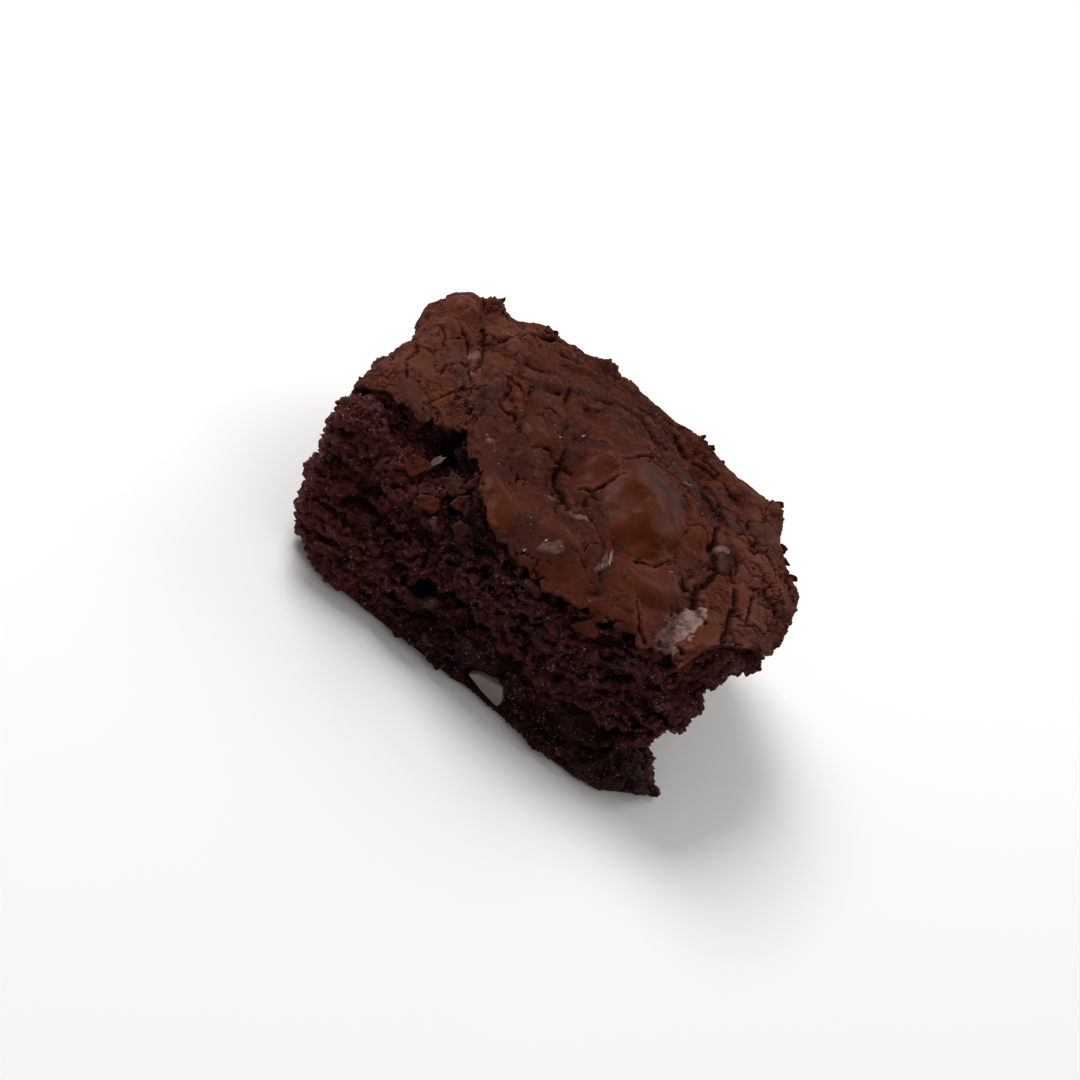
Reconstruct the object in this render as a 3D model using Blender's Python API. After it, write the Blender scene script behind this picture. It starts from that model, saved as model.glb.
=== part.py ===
"""Fudge brownie: a thick domed slab with a papery crust, a broken corner and a torn front face.

Every size below is in millimetres. X runs along the torn front face towards its right end, Y runs
back from that face, Z is up and the flat base lies on z = 0.
"""

import math
from collections import namedtuple

import bmesh
import bpy
from mathutils import Matrix, Vector, noise

MM = 0.001

# Plan of the slab before its relief
LEFT_X = -31.9
RIGHT_X = 31.2
FRONT_Y = -22.8
BACK_Y = 26.3
BACK_BULGE = 5.6
BACK_BULGE_X = -6.0
BACK_BULGE_HALF = 18.0

# How strongly each corner of the plan is rounded, at the base and at the top, from 0 to 1
Corner = namedtuple("Corner", "low high")
FRONT_LEFT = Corner(0.40, 0.14)
FRONT_RIGHT = Corner(0.34, 0.10)
BACK_LEFT = Corner(0.20, 0.06)
BACK_RIGHT = Corner(0.30, 0.34)

# The crust, from its rim up to the dome behind the middle
RIM_Z = 25.4
DOME_RISE = 4.1
DOME_CENTRE = (-3.0, 11.5)
DOME_HALVES = (25.0, 16.0)
LEFT_RIM_RISE = 1.3
LEFT_RIM_CENTRE = (-28.0, 7.0)
LEFT_RIM_HALVES = (6.0, 15.0)
SAG_DEPTH = 3.9
SAG_X = 4.5
SAG_HALF = 8.5
SAG_REACH = 9.0
ROLL_RADIUS = 4.0
ROLL_DROP = 2.6

# Waves of the crust, as size and height
BROAD_WAVE = (11.0, 0.9)
FINE_WAVE = (4.2, 0.55)

# Smooth blisters in the crust: centre, half sizes, turn in degrees and height
Blister = namedtuple("Blister", "x y along across turn rise")
BLISTERS = (
    Blister(10.4, 0.3, 9.6, 6.6, 95.0, 1.7),
    Blister(17.2, -11.9, 5.6, 4.0, 25.0, 1.2),
    Blister(1.2, -1.5, 3.9, 2.4, 85.0, 1.0),
    Blister(3.1, -17.1, 5.0, 3.0, -32.0, 0.9),
    Blister(-6.6, -17.4, 4.7, 2.4, -47.0, 0.8),
    Blister(-10.0, 0.8, 8.5, 4.6, -64.0, 0.7),
    Blister(26.6, -15.6, 6.6, 2.2, 92.0, 0.8),
)

# Crags of the crust that stand up along the back and right edges: place, half width and height
Crag = namedtuple("Crag", "x y half rise")
CRAGS = (
    Crag(-25.4, 23.4, 1.7, 1.0),
    Crag(-16.8, 26.4, 2.0, 1.7),
    Crag(-6.4, 28.2, 1.8, 1.2),
    Crag(11.6, 24.8, 2.4, 0.8),
    Crag(26.8, 21.4, 1.8, 1.8),
    Crag(32.0, 11.6, 1.8, 1.0),
)

# Deep creases: path across the plan, half width and depth, with how far they wander
CREASE_WANDER = 1.3
Crease = namedtuple("Crease", "path half depth")
CREASES = (
    Crease(((-25.5, 20.0), (-24.2, 12.0), (-23.0, 5.5), (-18.6, -2.0), (-17.0, -6.0)), 1.5, 2.0),
    Crease(((-3.5, 12.0), (-2.0, 2.0), (-1.5, -8.0)), 1.6, 0.9),
    Crease(((14.0, 17.5), (20.5, 8.0), (23.0, -2.0), (22.0, -11.0)), 1.4, 1.0),
    Crease(((-12.0, 20.5), (2.0, 22.0), (16.0, 18.5)), 1.2, 1.1),
)

# The mesh's columns lean by this much over the broken edge, so that they run along it
LEAN_X = -12.2
LEAN_HALF = 13.0
LEAN_SLOPE = -0.60
LEAN_Y = (-22.6, -5.0)
LEAN_FADE = (24.0, 0.0)

# The corner whose crust has broken away. The crust ends on this line, and x rises along it.
BREAK_LINE = ((-34.0, -10.6), (-20.4, -12.6), (-18.0, -5.2), (-15.4, -9.0), (-6.4, -22.6))
BREAK_WOBBLE = (2.2, 0.9)
BREAK_STEP = (0.5, -0.9)
BROKEN_TOP = 21.8
BROKEN_SLOPE = 0.30
BROKEN_SLOPE_Y = -8.0
SLOT_DEPTH = 2.4
SLOT_HALF = 2.0
LUMP_CENTRE = (-28.5, -17.0)
LUMP_HALVES = (5.5, 6.0)
LUMP_RISE = 5.5
BROKEN_ROUGH = (4.5, 1.3)

# Below the broken corner the front face leans back by this much towards its top
TORN_LEAN = 3.6
TORN_LEAN_SPAN = (-5.0, -15.0)
TORN_LEAN_HEIGHT = 18.0

# The right end: a crust lip that overhangs, a foot that spreads and a nick above it
LIP_REACH = 6.0
LIP_UNDERSIDE = (19.8, 22.6)
LIP_SPAN = (-20.5, -13.5, 8.0, 24.0)
TOE_REACH = 5.6
TOE_HEIGHT = 4.4
TOE_SPAN = (-9.0, -18.0)
NICK_DEPTH = 3.8
NICK_Z = 7.2
NICK_HALF = 3.8

# The front foot, which spreads forwards towards the right
FOOT_REACH = 3.8
FOOT_HEIGHT = 9.0
FOOT_SPAN = (3.0, 23.0)

# The left end: a slight hollow along it, a bulge of its rim and a rounded foot
LEFT_HOLLOW = 1.5
LEFT_HOLLOW_Y = 9.0
LEFT_HOLLOW_HALF = 11.0
LEFT_BULGE = 0.6
LEFT_BULGE_SPAN = (17.0, 23.0)
LEFT_FOOT_ROUND = 3.0
LEFT_FOOT_HEIGHT = 11.0
LEFT_FOOT_SPAN = (14.0, -14.0)

# Torn crumb on the sides: long low fissures, a recess under the crust's edge, and rough lumps
FISSURE_LENGTH = 9.0
FISSURE_HEIGHT = 2.4
FISSURE_DEPTH = 2.8
FISSURE_SHARE = 0.4
TORN_ABOVE_BASE = (0.0, 3.0)
TORN_BELOW_TOP = (0.2, 2.2)
RECESS_DEPTH = 1.5
RECESS_TOP = (0.4, 1.8)
RECESS_FOOT = (8.0, 3.0)
LUMP_SIZE = 3.6
LUMP_HEIGHT = 0.9
EDGE_BLEND = 0.16
BASE_EDGE = 1.6

# Cells of the mesh along X, Y and Z
CELLS = (52, 38, 16)

# The pale chunk in the foot of the front face, as its outline in X and Z
CHUNK_OUTLINE = ((3.0, 3.6), (4.4, 4.8), (8.4, 5.3), (9.5, 3.2), (9.3, 1.7), (6.2, 2.4))
CHUNK_FACE_Y = -24.1
CHUNK_DEPTH = 4.4
CHUNK_TAPER = 0.82
CHUNK_BEVEL = 0.45
CHUNK_GAP = 0.3

# Moves the plan so that its origin lies under the middle of the finished piece
CENTRE_SHIFT = (-1.58, -3.95)


def smooth(low, high, value):
    """0 below low, 1 above high and an even ramp between them; low may be the larger."""
    t = min(max((value - low) / (high - low), 0.0), 1.0)
    return t * t * (3.0 - 2.0 * t)


def mix(a, b, share):
    return a + (b - a) * share


def hill(dx, dy, halves):
    """A smooth hill of height 1 that has fallen to a third at its half sizes."""
    return math.exp(-((dx / halves[0]) ** 2) - (dy / halves[1]) ** 2)


def wave(x, y, z, size, seed):
    """Smooth noise from about -1 to 1 whose lumps are about size wide."""
    return noise.noise(Vector((x / size, y / size, z / size + seed))) * 1.6


def line_at(points, x):
    """The height of a line of points over x."""
    for (x0, y0), (x1, y1) in zip(points, points[1:]):
        if x <= x1:
            return mix(y0, y1, min(max((x - x0) / (x1 - x0), 0.0), 1.0))
    return points[-1][1]


def path_distance(path, x, y):
    """The distance in the plan from a point to a path of straight runs that wander a little."""
    wander = Vector((wave(x, y, 0.0, 5.0, 51.0), wave(x, y, 0.0, 5.0, 57.0)))
    here = Vector((x, y)) + wander * CREASE_WANDER
    nearest = 1.0e9
    for start, end in zip(path, path[1:]):
        a, b = Vector(start), Vector(end)
        along = b - a
        share = min(max((here - a).dot(along) / along.length_squared, 0.0), 1.0)
        nearest = min(nearest, (here - a - along * share).length)
    return nearest


def blister_rise(blister, x, y):
    """A dome that is round on top and steps down sharply at its edge."""
    turn = math.radians(blister.turn)
    dx, dy = x - blister.x, y - blister.y
    along = (dx * math.cos(turn) + dy * math.sin(turn)) / blister.along
    across = (dy * math.cos(turn) - dx * math.sin(turn)) / blister.across
    reach = along * along + across * across
    return blister.rise * math.sqrt(max(1.0 - reach, 0.0))


def crust_height(x, y):
    """The height of the whole crust, as if no corner had broken away."""
    z = RIM_Z
    z += DOME_RISE * hill(x - DOME_CENTRE[0], y - DOME_CENTRE[1], DOME_HALVES)
    z += LEFT_RIM_RISE * hill(x - LEFT_RIM_CENTRE[0], y - LEFT_RIM_CENTRE[1], LEFT_RIM_HALVES)
    z -= SAG_DEPTH * hill(x - SAG_X, 0.0, (SAG_HALF, 1.0)) * smooth(FRONT_Y + SAG_REACH, FRONT_Y, y)
    z += wave(x, y, 0.0, BROAD_WAVE[0], 3.0) * BROAD_WAVE[1]
    z += wave(x, y, 0.0, FINE_WAVE[0], 11.0) * FINE_WAVE[1]
    z += max(blister_rise(blister, x, y) for blister in BLISTERS)
    z += sum(crag.rise * hill(x - crag.x, y - crag.y, (crag.half, crag.half)) for crag in CRAGS)
    for crease in CREASES:
        z -= crease.depth * math.exp(-((path_distance(crease.path, x, y) / crease.half) ** 2))
    return z


def broken_height(x, y):
    """The height of the crumb that shows where the crust has broken away."""
    z = BROKEN_TOP - BROKEN_SLOPE * max(BROKEN_SLOPE_Y - y, 0.0)
    z += LUMP_RISE * hill(x - LUMP_CENTRE[0], y - LUMP_CENTRE[1], LUMP_HALVES)
    z += wave(x, y, 0.0, BROKEN_ROUGH[0], 21.0) * BROKEN_ROUGH[1]
    z -= SLOT_DEPTH * hill(path_distance(BREAK_LINE[2:], x, y), 0.0, (SLOT_HALF, 1.0))
    return z


def break_y(x):
    """Where the crust's broken edge lies over x."""
    return line_at(BREAK_LINE, x) + wave(x, 0.0, 0.0, BREAK_WOBBLE[0], 31.0) * BREAK_WOBBLE[1]


def broken_share(x, y):
    """1 in the broken corner and 0 under the crust, with a steep step between them."""
    if x > BREAK_LINE[-1][0]:
        return 0.0
    return smooth(*BREAK_STEP, y - break_y(x))


def back_edge(x):
    return BACK_Y + BACK_BULGE * hill(x - BACK_BULGE_X, 0.0, (BACK_BULGE_HALF, 1.0))


def rolled(s, t):
    """How far the crust rolls down near the left, right and back edges of the plan."""
    reach = ROLL_RADIUS / (0.5 * (RIGHT_X - LEFT_X))
    sides = max(smooth(1.0 - reach, 1.0, abs(s)), smooth(1.0 - reach, 1.0, t))
    return ROLL_DROP * sides * sides


def corner_softness(s, t, w):
    """The rounding of the plan at a point, blended from its four corners and over the height."""
    right, back = 0.5 * (s + 1.0), 0.5 * (t + 1.0)
    front = mix(mix(*FRONT_LEFT, w), mix(*FRONT_RIGHT, w), right)
    rear = mix(mix(*BACK_LEFT, w), mix(*BACK_RIGHT, w), right)
    return mix(front, rear, back)


def plan_point(s, t, w):
    """The place in the plan of the square's point (s, t), both from -1 to 1, at height share w."""
    soft = corner_softness(s, t, w)
    s_round = s * math.sqrt(1.0 - 0.5 * soft * t * t)
    t_round = t * math.sqrt(1.0 - 0.5 * soft * s * s)
    x = mix(LEFT_X, RIGHT_X, 0.5 * (s_round + 1.0))
    y = mix(FRONT_Y, back_edge(x), 0.5 * (t_round + 1.0))
    middle = 0.5 * (LEAN_Y[0] + LEAN_Y[1])
    reach = min(max(y, LEAN_Y[0]), LEAN_Y[1]) - middle
    x += LEAN_SLOPE * reach * hill(x - LEAN_X, 0.0, (LEAN_HALF, 1.0)) * smooth(*LEAN_FADE, y)
    return x, y


def tear(along, z, seed):
    """The depth of the torn crumb at a place on a side: long low fissures between rough lumps."""
    place = Vector((along / FISSURE_LENGTH, seed, z / FISSURE_HEIGHT))
    fissure = max(noise.noise(place) + 0.55 * noise.noise(place * 2.1), 0.0) * 2.2
    lumps = wave(along, seed, z, LUMP_SIZE, 5.0) * LUMP_HEIGHT
    return (min(fissure, 1.0) - FISSURE_SHARE) * FISSURE_DEPTH - lumps


def under_crust(drop):
    """The recess of the crumb under the crust's edge, for a drop below that edge."""
    return RECESS_DEPTH * smooth(*RECESS_TOP, drop) * smooth(*RECESS_FOOT, drop)


def right_push(y, z):
    """How far the right end stands out past RIGHT_X."""
    along = smooth(LIP_SPAN[0], LIP_SPAN[1], y) * smooth(LIP_SPAN[3], LIP_SPAN[2], y)
    lip = LIP_REACH * along * smooth(*LIP_UNDERSIDE, z)
    toe = TOE_REACH * smooth(TOE_HEIGHT, 1.0, z) * smooth(*TOE_SPAN, y)
    nick = NICK_DEPTH * hill(z - NICK_Z, 0.0, (NICK_HALF, 1.0))
    return lip + toe - nick


def left_push(y, z):
    """How far the left end stands out past LEFT_X."""
    rim = LEFT_BULGE * smooth(*LEFT_BULGE_SPAN, z)
    rounding = smooth(LEFT_FOOT_HEIGHT, 0.0, z)
    foot = LEFT_FOOT_ROUND * rounding * rounding * smooth(*LEFT_FOOT_SPAN, y)
    return rim - foot - LEFT_HOLLOW * hill(y - LEFT_HOLLOW_Y, 0.0, (LEFT_HOLLOW_HALF, 1.0))


def front_push(x, z, drop):
    """How far the front face stands out past FRONT_Y, for a drop below its upper edge."""
    foot = FOOT_REACH * smooth(FOOT_SPAN[0], FOOT_SPAN[1], x) * smooth(FOOT_HEIGHT, 0.0, z)
    leaning = smooth(*TORN_LEAN_SPAN, x) * smooth(TORN_LEAN_HEIGHT, 0.0, drop)
    return foot - TORN_LEAN * leaning * leaning - under_crust(drop)


def base_inset(z):
    """The rounding of the edge between the sides and the base."""
    inside = max(BASE_EDGE - z, 0.0)
    return BASE_EDGE - math.sqrt(BASE_EDGE * BASE_EDGE - inside * inside)


def place(s, t, w):
    """The finished place of a point on the unit box's surface, as x, y and z."""
    x, y = plan_point(s, t, w)
    top = mix(crust_height(x, y) - rolled(s, t), broken_height(x, y), broken_share(x, y))
    z = top * w
    drop = top - z
    near = 1.0 - EDGE_BLEND
    right = smooth(near, 1.0, s)
    left = smooth(near, 1.0, -s)
    front = smooth(near, 1.0, -t)
    back = smooth(near, 1.0, t)
    torn = smooth(*TORN_ABOVE_BASE, z) * smooth(*TORN_BELOW_TOP, drop)
    moved_x = right * (right_push(y, z) - torn * tear(y, z, 40.0) - base_inset(z))
    moved_x -= left * (left_push(y, z) - torn * tear(y, z, 60.0) - base_inset(z))
    moved_y = back * (-torn * tear(x, z, 80.0) - base_inset(z))
    moved_y -= front * (front_push(x, z, drop) - torn * tear(x, z, 20.0) - base_inset(z))
    return x + moved_x, y + moved_y, z


def gridded_box():
    """A box of side 2 whose faces are divided into CELLS, with its base as one face."""
    mesh = bmesh.new()
    bmesh.ops.create_cube(mesh, size=2.0)
    for axis, cells in enumerate(CELLS):
        edges = [e for e in mesh.edges if is_along(e, axis)]
        bmesh.ops.subdivide_edges(mesh, edges=edges, cuts=cells - 1, use_grid_fill=True)
    base = [f for f in mesh.faces if all(v.co.z < -0.999 for v in f.verts)]
    bmesh.ops.dissolve_faces(mesh, faces=base, use_verts=True)
    return mesh


def is_along(edge, axis):
    run = edge.verts[1].co - edge.verts[0].co
    return abs(run[axis]) > 0.9 * run.length


def finished(name, mesh, material):
    """An object from a mesh in millimetres, in metres and centred on its box."""
    shift = Matrix.Translation((CENTRE_SHIFT[0] * MM, CENTRE_SHIFT[1] * MM, 0.0))
    mesh.transform(shift @ Matrix.Scale(MM, 4))
    bmesh.ops.recalc_face_normals(mesh, faces=mesh.faces)
    data = bpy.data.meshes.new(name)
    mesh.to_mesh(data)
    mesh.free()
    data.materials.append(material)
    made = bpy.data.objects.new(name, data)
    bpy.context.collection.objects.link(made)
    return made


def plain_material(name, colour, roughness):
    material = bpy.data.materials.new(name)
    material.use_nodes = True
    shader = material.node_tree.nodes["Principled BSDF"]
    shader.inputs["Base Color"].default_value = (*colour, 1.0)
    shader.inputs["Roughness"].default_value = roughness
    shader.inputs["Metallic"].default_value = 0.0
    return material


def chunk_mesh(grow):
    """The chunk as a tapered block on its outline, grown by some millimetres on every side."""
    mesh = bmesh.new()
    middle = Vector((sum(p[0] for p in CHUNK_OUTLINE), sum(p[1] for p in CHUNK_OUTLINE)))
    middle /= len(CHUNK_OUTLINE)
    layers = ((CHUNK_FACE_Y - grow, 1.0), (CHUNK_FACE_Y + CHUNK_DEPTH + grow, CHUNK_TAPER))
    for y, taper in layers:
        for point in CHUNK_OUTLINE:
            out = Vector(point) - middle
            out *= taper * (out.length + grow * 1.3) / out.length
            mesh.verts.new((middle.x + out.x, y, middle.y + out.y))
    hull = bmesh.ops.convex_hull(mesh, input=mesh.verts)
    bmesh.ops.delete(mesh, geom=hull["geom_interior"], context="VERTS")
    bmesh.ops.dissolve_limit(mesh, angle_limit=0.02, verts=mesh.verts, edges=mesh.edges)
    bmesh.ops.bevel(mesh, geom=mesh.edges, offset=CHUNK_BEVEL, segments=2, affect="EDGES", profile=0.5)
    bmesh.ops.triangulate(mesh, faces=mesh.faces)
    return mesh


def make_brownie():
    """The slab, with the pocket that holds the chunk cut into its front face."""
    mesh = gridded_box()
    for vertex in mesh.verts:
        s, t, height = vertex.co
        vertex.co = place(s, t, 0.5 * (height + 1.0))
    upright = [face for face in mesh.faces if len(face.verts) == 4]
    bmesh.ops.triangulate(mesh, faces=upright, quad_method="SHORT_EDGE")
    slab = finished("brownie", mesh, plain_material("crust_brown", (0.052, 0.017, 0.011), 0.6))
    pocket = finished("pocket", chunk_mesh(CHUNK_GAP), plain_material("pocket", (0.01, 0.004, 0.004), 0.6))
    pocket.hide_render = True
    pocket.display_type = "WIRE"
    cut = slab.modifiers.new("pocket", "BOOLEAN")
    cut.operation = "DIFFERENCE"
    cut.solver = "EXACT"
    cut.object = pocket
    return slab


def make_chunk():
    """The pale chunk that sits in the pocket, clear of it all round."""
    pale = plain_material("pale_chocolate", (0.09, 0.07, 0.065), 0.45)
    return finished("pale_chunk", chunk_mesh(0.0), pale)


def main():
    for left_over in list(bpy.data.objects):
        bpy.data.objects.remove(left_over, do_unlink=True)
    make_brownie()
    make_chunk()


main()
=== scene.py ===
"""The looks of a fudge brownie: a papery crackled crust over torn crumb, and a pale chunk in its foot.

Sizes are in millimetres unless a name says otherwise. X runs along the torn front face, Y runs back
from it, Z is up and the base lies on z = 0. The form repeats the named values of the solid model.
"""

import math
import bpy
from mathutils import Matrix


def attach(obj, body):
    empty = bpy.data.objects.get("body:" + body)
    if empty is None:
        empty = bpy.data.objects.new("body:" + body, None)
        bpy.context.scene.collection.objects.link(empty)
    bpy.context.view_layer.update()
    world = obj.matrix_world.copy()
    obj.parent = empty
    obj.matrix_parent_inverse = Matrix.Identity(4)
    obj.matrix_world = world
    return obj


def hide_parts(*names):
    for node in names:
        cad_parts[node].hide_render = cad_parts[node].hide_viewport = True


bl_info = {
    "name": "Fudge brownie",
    "version": (1, 0, 0),
    "blender": (4, 5, 0),
    "location": "3D View > Sidebar > Brownie",
    "description": "Dresses the brownie's solids with crust, crumb, flakes and crumbs",
    "category": "Add Mesh",
}

from collections import namedtuple
from functools import reduce
from types import SimpleNamespace

import bpy
import numpy as np
from bpy.props import FloatProperty, FloatVectorProperty, IntProperty, PointerProperty
from mathutils import Euler, Matrix, Vector, noise

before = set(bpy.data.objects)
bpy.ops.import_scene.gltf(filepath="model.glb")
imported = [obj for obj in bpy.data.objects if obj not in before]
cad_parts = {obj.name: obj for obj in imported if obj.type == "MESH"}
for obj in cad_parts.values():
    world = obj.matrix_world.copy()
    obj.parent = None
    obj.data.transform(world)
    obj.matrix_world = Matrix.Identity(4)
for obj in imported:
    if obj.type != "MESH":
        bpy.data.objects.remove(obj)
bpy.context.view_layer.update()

MM = 0.001
NODE = "brownie"
CHUNK_NODE = "pale_chunk"
BODY = "root"

# Plan of the slab before its relief
LEFT_X = -31.9
RIGHT_X = 31.2
FRONT_Y = -22.8
BACK_Y = 26.3
BACK_BULGE = 5.6
BACK_BULGE_X = -6.0
BACK_BULGE_HALF = 18.0
CENTRE_SHIFT = (-1.58, -3.95)

# How strongly each corner of the plan is rounded, at the base and at the top
Corner = namedtuple("Corner", "low high")
FRONT_LEFT = Corner(0.40, 0.14)
FRONT_RIGHT = Corner(0.34, 0.10)
BACK_LEFT = Corner(0.20, 0.06)
BACK_RIGHT = Corner(0.30, 0.34)

# The crust's height, from its rim up to the dome behind the middle
RIM_Z = 25.4
DOME_RISE = 4.1
DOME_CENTRE = (-3.0, 11.5)
DOME_HALVES = (25.0, 16.0)
LEFT_RIM_RISE = 1.3
LEFT_RIM_CENTRE = (-28.0, 7.0)
LEFT_RIM_HALVES = (6.0, 15.0)
SAG_DEPTH = 3.9
SAG_X = 4.5
SAG_HALF = 8.5
SAG_REACH = 9.0
FRONT_ROLL = 1.9
FRONT_ROLL_REACH = 4.5
FRONT_ROLL_SPAN = (9.0, 15.0)
ROLL_RADIUS = 4.0
ROLL_DROP = 2.6
BROAD_WAVE = (11.0, 0.9)
FINE_WAVE = (4.2, 0.55)

# Ellipses: centre, half sizes, turn in degrees, and height or strength
Patch = namedtuple("Patch", "x y along across turn rise", defaults=(0, 0.0))

# Smooth blisters in the crust
BLISTERS = (
    Patch(10.4, 0.3, 9.6, 6.6, 95, 1.7),
    Patch(17.2, -11.9, 5.6, 4.0, 25, 1.2),
    Patch(1.2, -1.5, 3.9, 2.4, 85, 1.0),
    Patch(3.1, -17.1, 5.0, 3.0, -32, 0.9),
    Patch(-6.6, -17.4, 4.7, 2.4, -47, 0.8),
    Patch(-10.0, 0.8, 8.5, 4.6, -64, 0.7),
    Patch(26.6, -15.6, 6.6, 2.2, 92, 0.8),
)

# How round the blisters' domes are: 1 for a full dome, less for a flatter one with steeper sides
DOME_SOFTNESS = 0.8

# How smooth and orange each of those blisters is
GLOSS = (0.95, 0.85, 0.85, 0.6, 0.9, 0.0, 0.8)

# Crags of the crust that stand up along the back and right edges: place, half width and height
Crag = namedtuple("Crag", "x y half rise")
CRAGS = (
    Crag(-25.4, 23.4, 1.7, 1.0),
    Crag(-16.8, 26.4, 2.0, 1.7),
    Crag(-6.4, 28.2, 1.8, 1.2),
    Crag(11.6, 24.8, 2.4, 0.8),
    Crag(26.8, 21.4, 1.8, 1.8),
    Crag(32.0, 11.6, 1.8, 1.0),
)

# Deep creases: path across the plan, half width and depth, with how far they wander
CREASE_WANDER = 1.3
Crease = namedtuple("Crease", "path half depth")
CREASES = (
    Crease(((-25.5, 20.0), (-24.2, 12.0), (-23.0, 5.5), (-18.6, -2.0), (-17.0, -6.0)), 1.5, 2.0),
    Crease(((-3.5, 12.0), (-2.0, 2.0), (-1.5, -8.0)), 1.6, 0.9),
    Crease(((14.0, 17.5), (20.5, 8.0), (23.0, -2.0), (22.0, -11.0)), 1.4, 1.0),
    Crease(((-12.0, 20.5), (2.0, 22.0), (16.0, 18.5)), 1.2, 1.1),
)

# The mesh's columns lean over the broken edge, so that they run along it
LEAN_X = -12.2
LEAN_HALF = 13.0
LEAN_SLOPE = -0.60
LEAN_Y = (-22.6, -5.0)
LEAN_FADE = (24.0, 0.0)

# The corner whose crust has broken away
BREAK_LINE = ((-34.0, -10.6), (-20.4, -12.6), (-18.0, -5.2), (-15.4, -9.0), (-6.4, -22.6))
BREAK_WOBBLE = (2.2, 0.9)
BREAK_STEP = (0.5, -0.9)
BROKEN_TOP = 21.8
BROKEN_SLOPE = 0.30
BROKEN_SLOPE_Y = -8.0
SLOT_MOUTH = (-16.8, -8.6)
SLOT_DEPTH = 2.4
SLOT_HALF = 2.0
LUMP_CENTRE = (-28.5, -17.0)
LUMP_HALVES = (5.5, 6.0)
LUMP_RISE = 5.5
BROKEN_ROUGH = (4.5, 1.3)
TORN_LEAN = 3.6
TORN_LEAN_SPAN = (-5.0, -15.0)
TORN_LEAN_HEIGHT = 18.0

# The right end's lip, foot and nick, and the front foot
LIP_REACH = 6.0
LIP_UNDERSIDE = (19.8, 22.6)
LIP_SPAN = (-20.5, -13.5, 8.0, 24.0)
TOE_REACH = 5.6
TOE_HEIGHT = 4.4
TOE_SPAN = (-9.0, -18.0)
NICK_DEPTH = 3.8
NICK_Z = 7.2
NICK_HALF = 3.8
FOOT_REACH = 3.8
FOOT_HEIGHT = 9.0
FOOT_SPAN = (3.0, 23.0)

# The left end's hollow, bulge and rounded foot
LEFT_HOLLOW = 1.5
LEFT_HOLLOW_Y = 9.0
LEFT_HOLLOW_HALF = 11.0
LEFT_BULGE = 0.6
LEFT_BULGE_SPAN = (17.0, 23.0)
LEFT_FOOT_ROUND = 3.0
LEFT_FOOT_HEIGHT = 11.0
LEFT_FOOT_SPAN = (14.0, -14.0)

# Torn crumb on the sides
FISSURE_LENGTH = 9.0
FISSURE_HEIGHT = 2.4
FISSURE_DEPTH = 2.8
FISSURE_SHARE = 0.4
TORN_ABOVE_BASE = (0.0, 3.0)
TORN_BELOW_TOP = (0.2, 2.2)
RECESS_DEPTH = 1.5
RECESS_TOP = (0.4, 1.8)
RECESS_FOOT = (8.0, 3.0)
LUMP_SIZE = 3.6
LUMP_HEIGHT = 0.9
EDGE_BLEND = 0.16
BASE_EDGE = 1.6
TEAR_SEEDS = {"right": 40.0, "left": 60.0, "back": 80.0, "front": 20.0}

# The crust as a sheet: how far past the plan's edge its grid runs, its size, its lengths down the
# sides, how deep the crumb lies under it, and how many of its cells go into one cell of its underside
CRUST_REACH = 1.11
CRUST_HALF_LENGTH = 31.5
CRUST_DEPTH = 52.0
SKIRT_LENGTH = 3.6
LIP_SKIRT = 1.2
CRUST_SINK = 1.2
COVERED_SINK = 1.8
CORNER_SINK = 1.8
UNDER_STEP = 4

# Where the crust ends at the lip's front corner: depths in Y for shares of the plan's width
BARE_CORNER = ((0.85, -23.5), (0.88, -19.5), (0.91, -13.5), (0.945, -8.5), (1.0, -4.0))

# The crumb's first mesh: its cell size, how much closer its rows lie where it shows, and the columns
# that this concerns
FIRST_CELL = 0.45
SHOWN_DENSITY = 1.2
BREAK_COLUMNS = -0.1

# How readily a point of the crumb that shows is dropped, where a hidden one counts 1
SHOWN_WEIGHT = 0.3

# How far the crumb's clumps and its torn pores are drawn out along X, Y and Z
CLUMP_STRETCH = (2.1, 1.8, 1.0)
PORE_STRETCH = (3.6, 3.0, 0.85)

# Smooth, smeared patches of the front face, as ellipses in X and Z
SMEARS = (
    Patch(4.0, 6.6, 5.6, 1.9, 3),
    Patch(20.5, 7.2, 4.4, 1.4, 8),
    Patch(-8.0, 7.6, 3.0, 1.6),
    Patch(20.0, 18.4, 2.6, 1.5, 20),
    Patch(8.6, 15.0, 2.2, 1.2, 10),
)

# Near-black fissures of the front face, as ellipses in X and Z with their depth
FISSURES = (
    Patch(-7.6, 10.0, 6.5, 0.65, 12, 2.4),
    Patch(-0.6, 10.4, 5.0, 0.6, 8, 2.0),
    Patch(13.0, 11.6, 7.5, 0.8, 19, 3.0),
    Patch(17.5, 9.2, 4.6, 0.55, 14, 2.0),
    Patch(28.3, 12.9, 3.0, 0.6, 16, 1.8),
    Patch(23.8, 11.2, 3.4, 0.5, 22, 1.6),
    Patch(6.2, 20.4, 3.8, 0.7, 20, 1.8),
    Patch(14.6, 22.6, 2.4, 0.9, 6, 2.2),
    Patch(-3.8, 20.6, 3.8, 0.7, 12, 1.8),
    Patch(-20.0, 13.0, 5.0, 0.6, 4, 1.8),
    Patch(-24.0, 7.0, 4.0, 0.5, 6, 1.5),
    Patch(24.6, 6.0, 4.0, 0.6, 12, 1.8),
    Patch(28.8, 8.0, 2.8, 0.7, 8, 2.0),
    Patch(5.0, 15.6, 5.0, 0.5, 17, 1.5),
    Patch(22.0, 16.4, 4.0, 0.5, 20, 1.5),
    Patch(9.0, 3.4, 5.0, 0.45, 6, 1.2),
)

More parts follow.
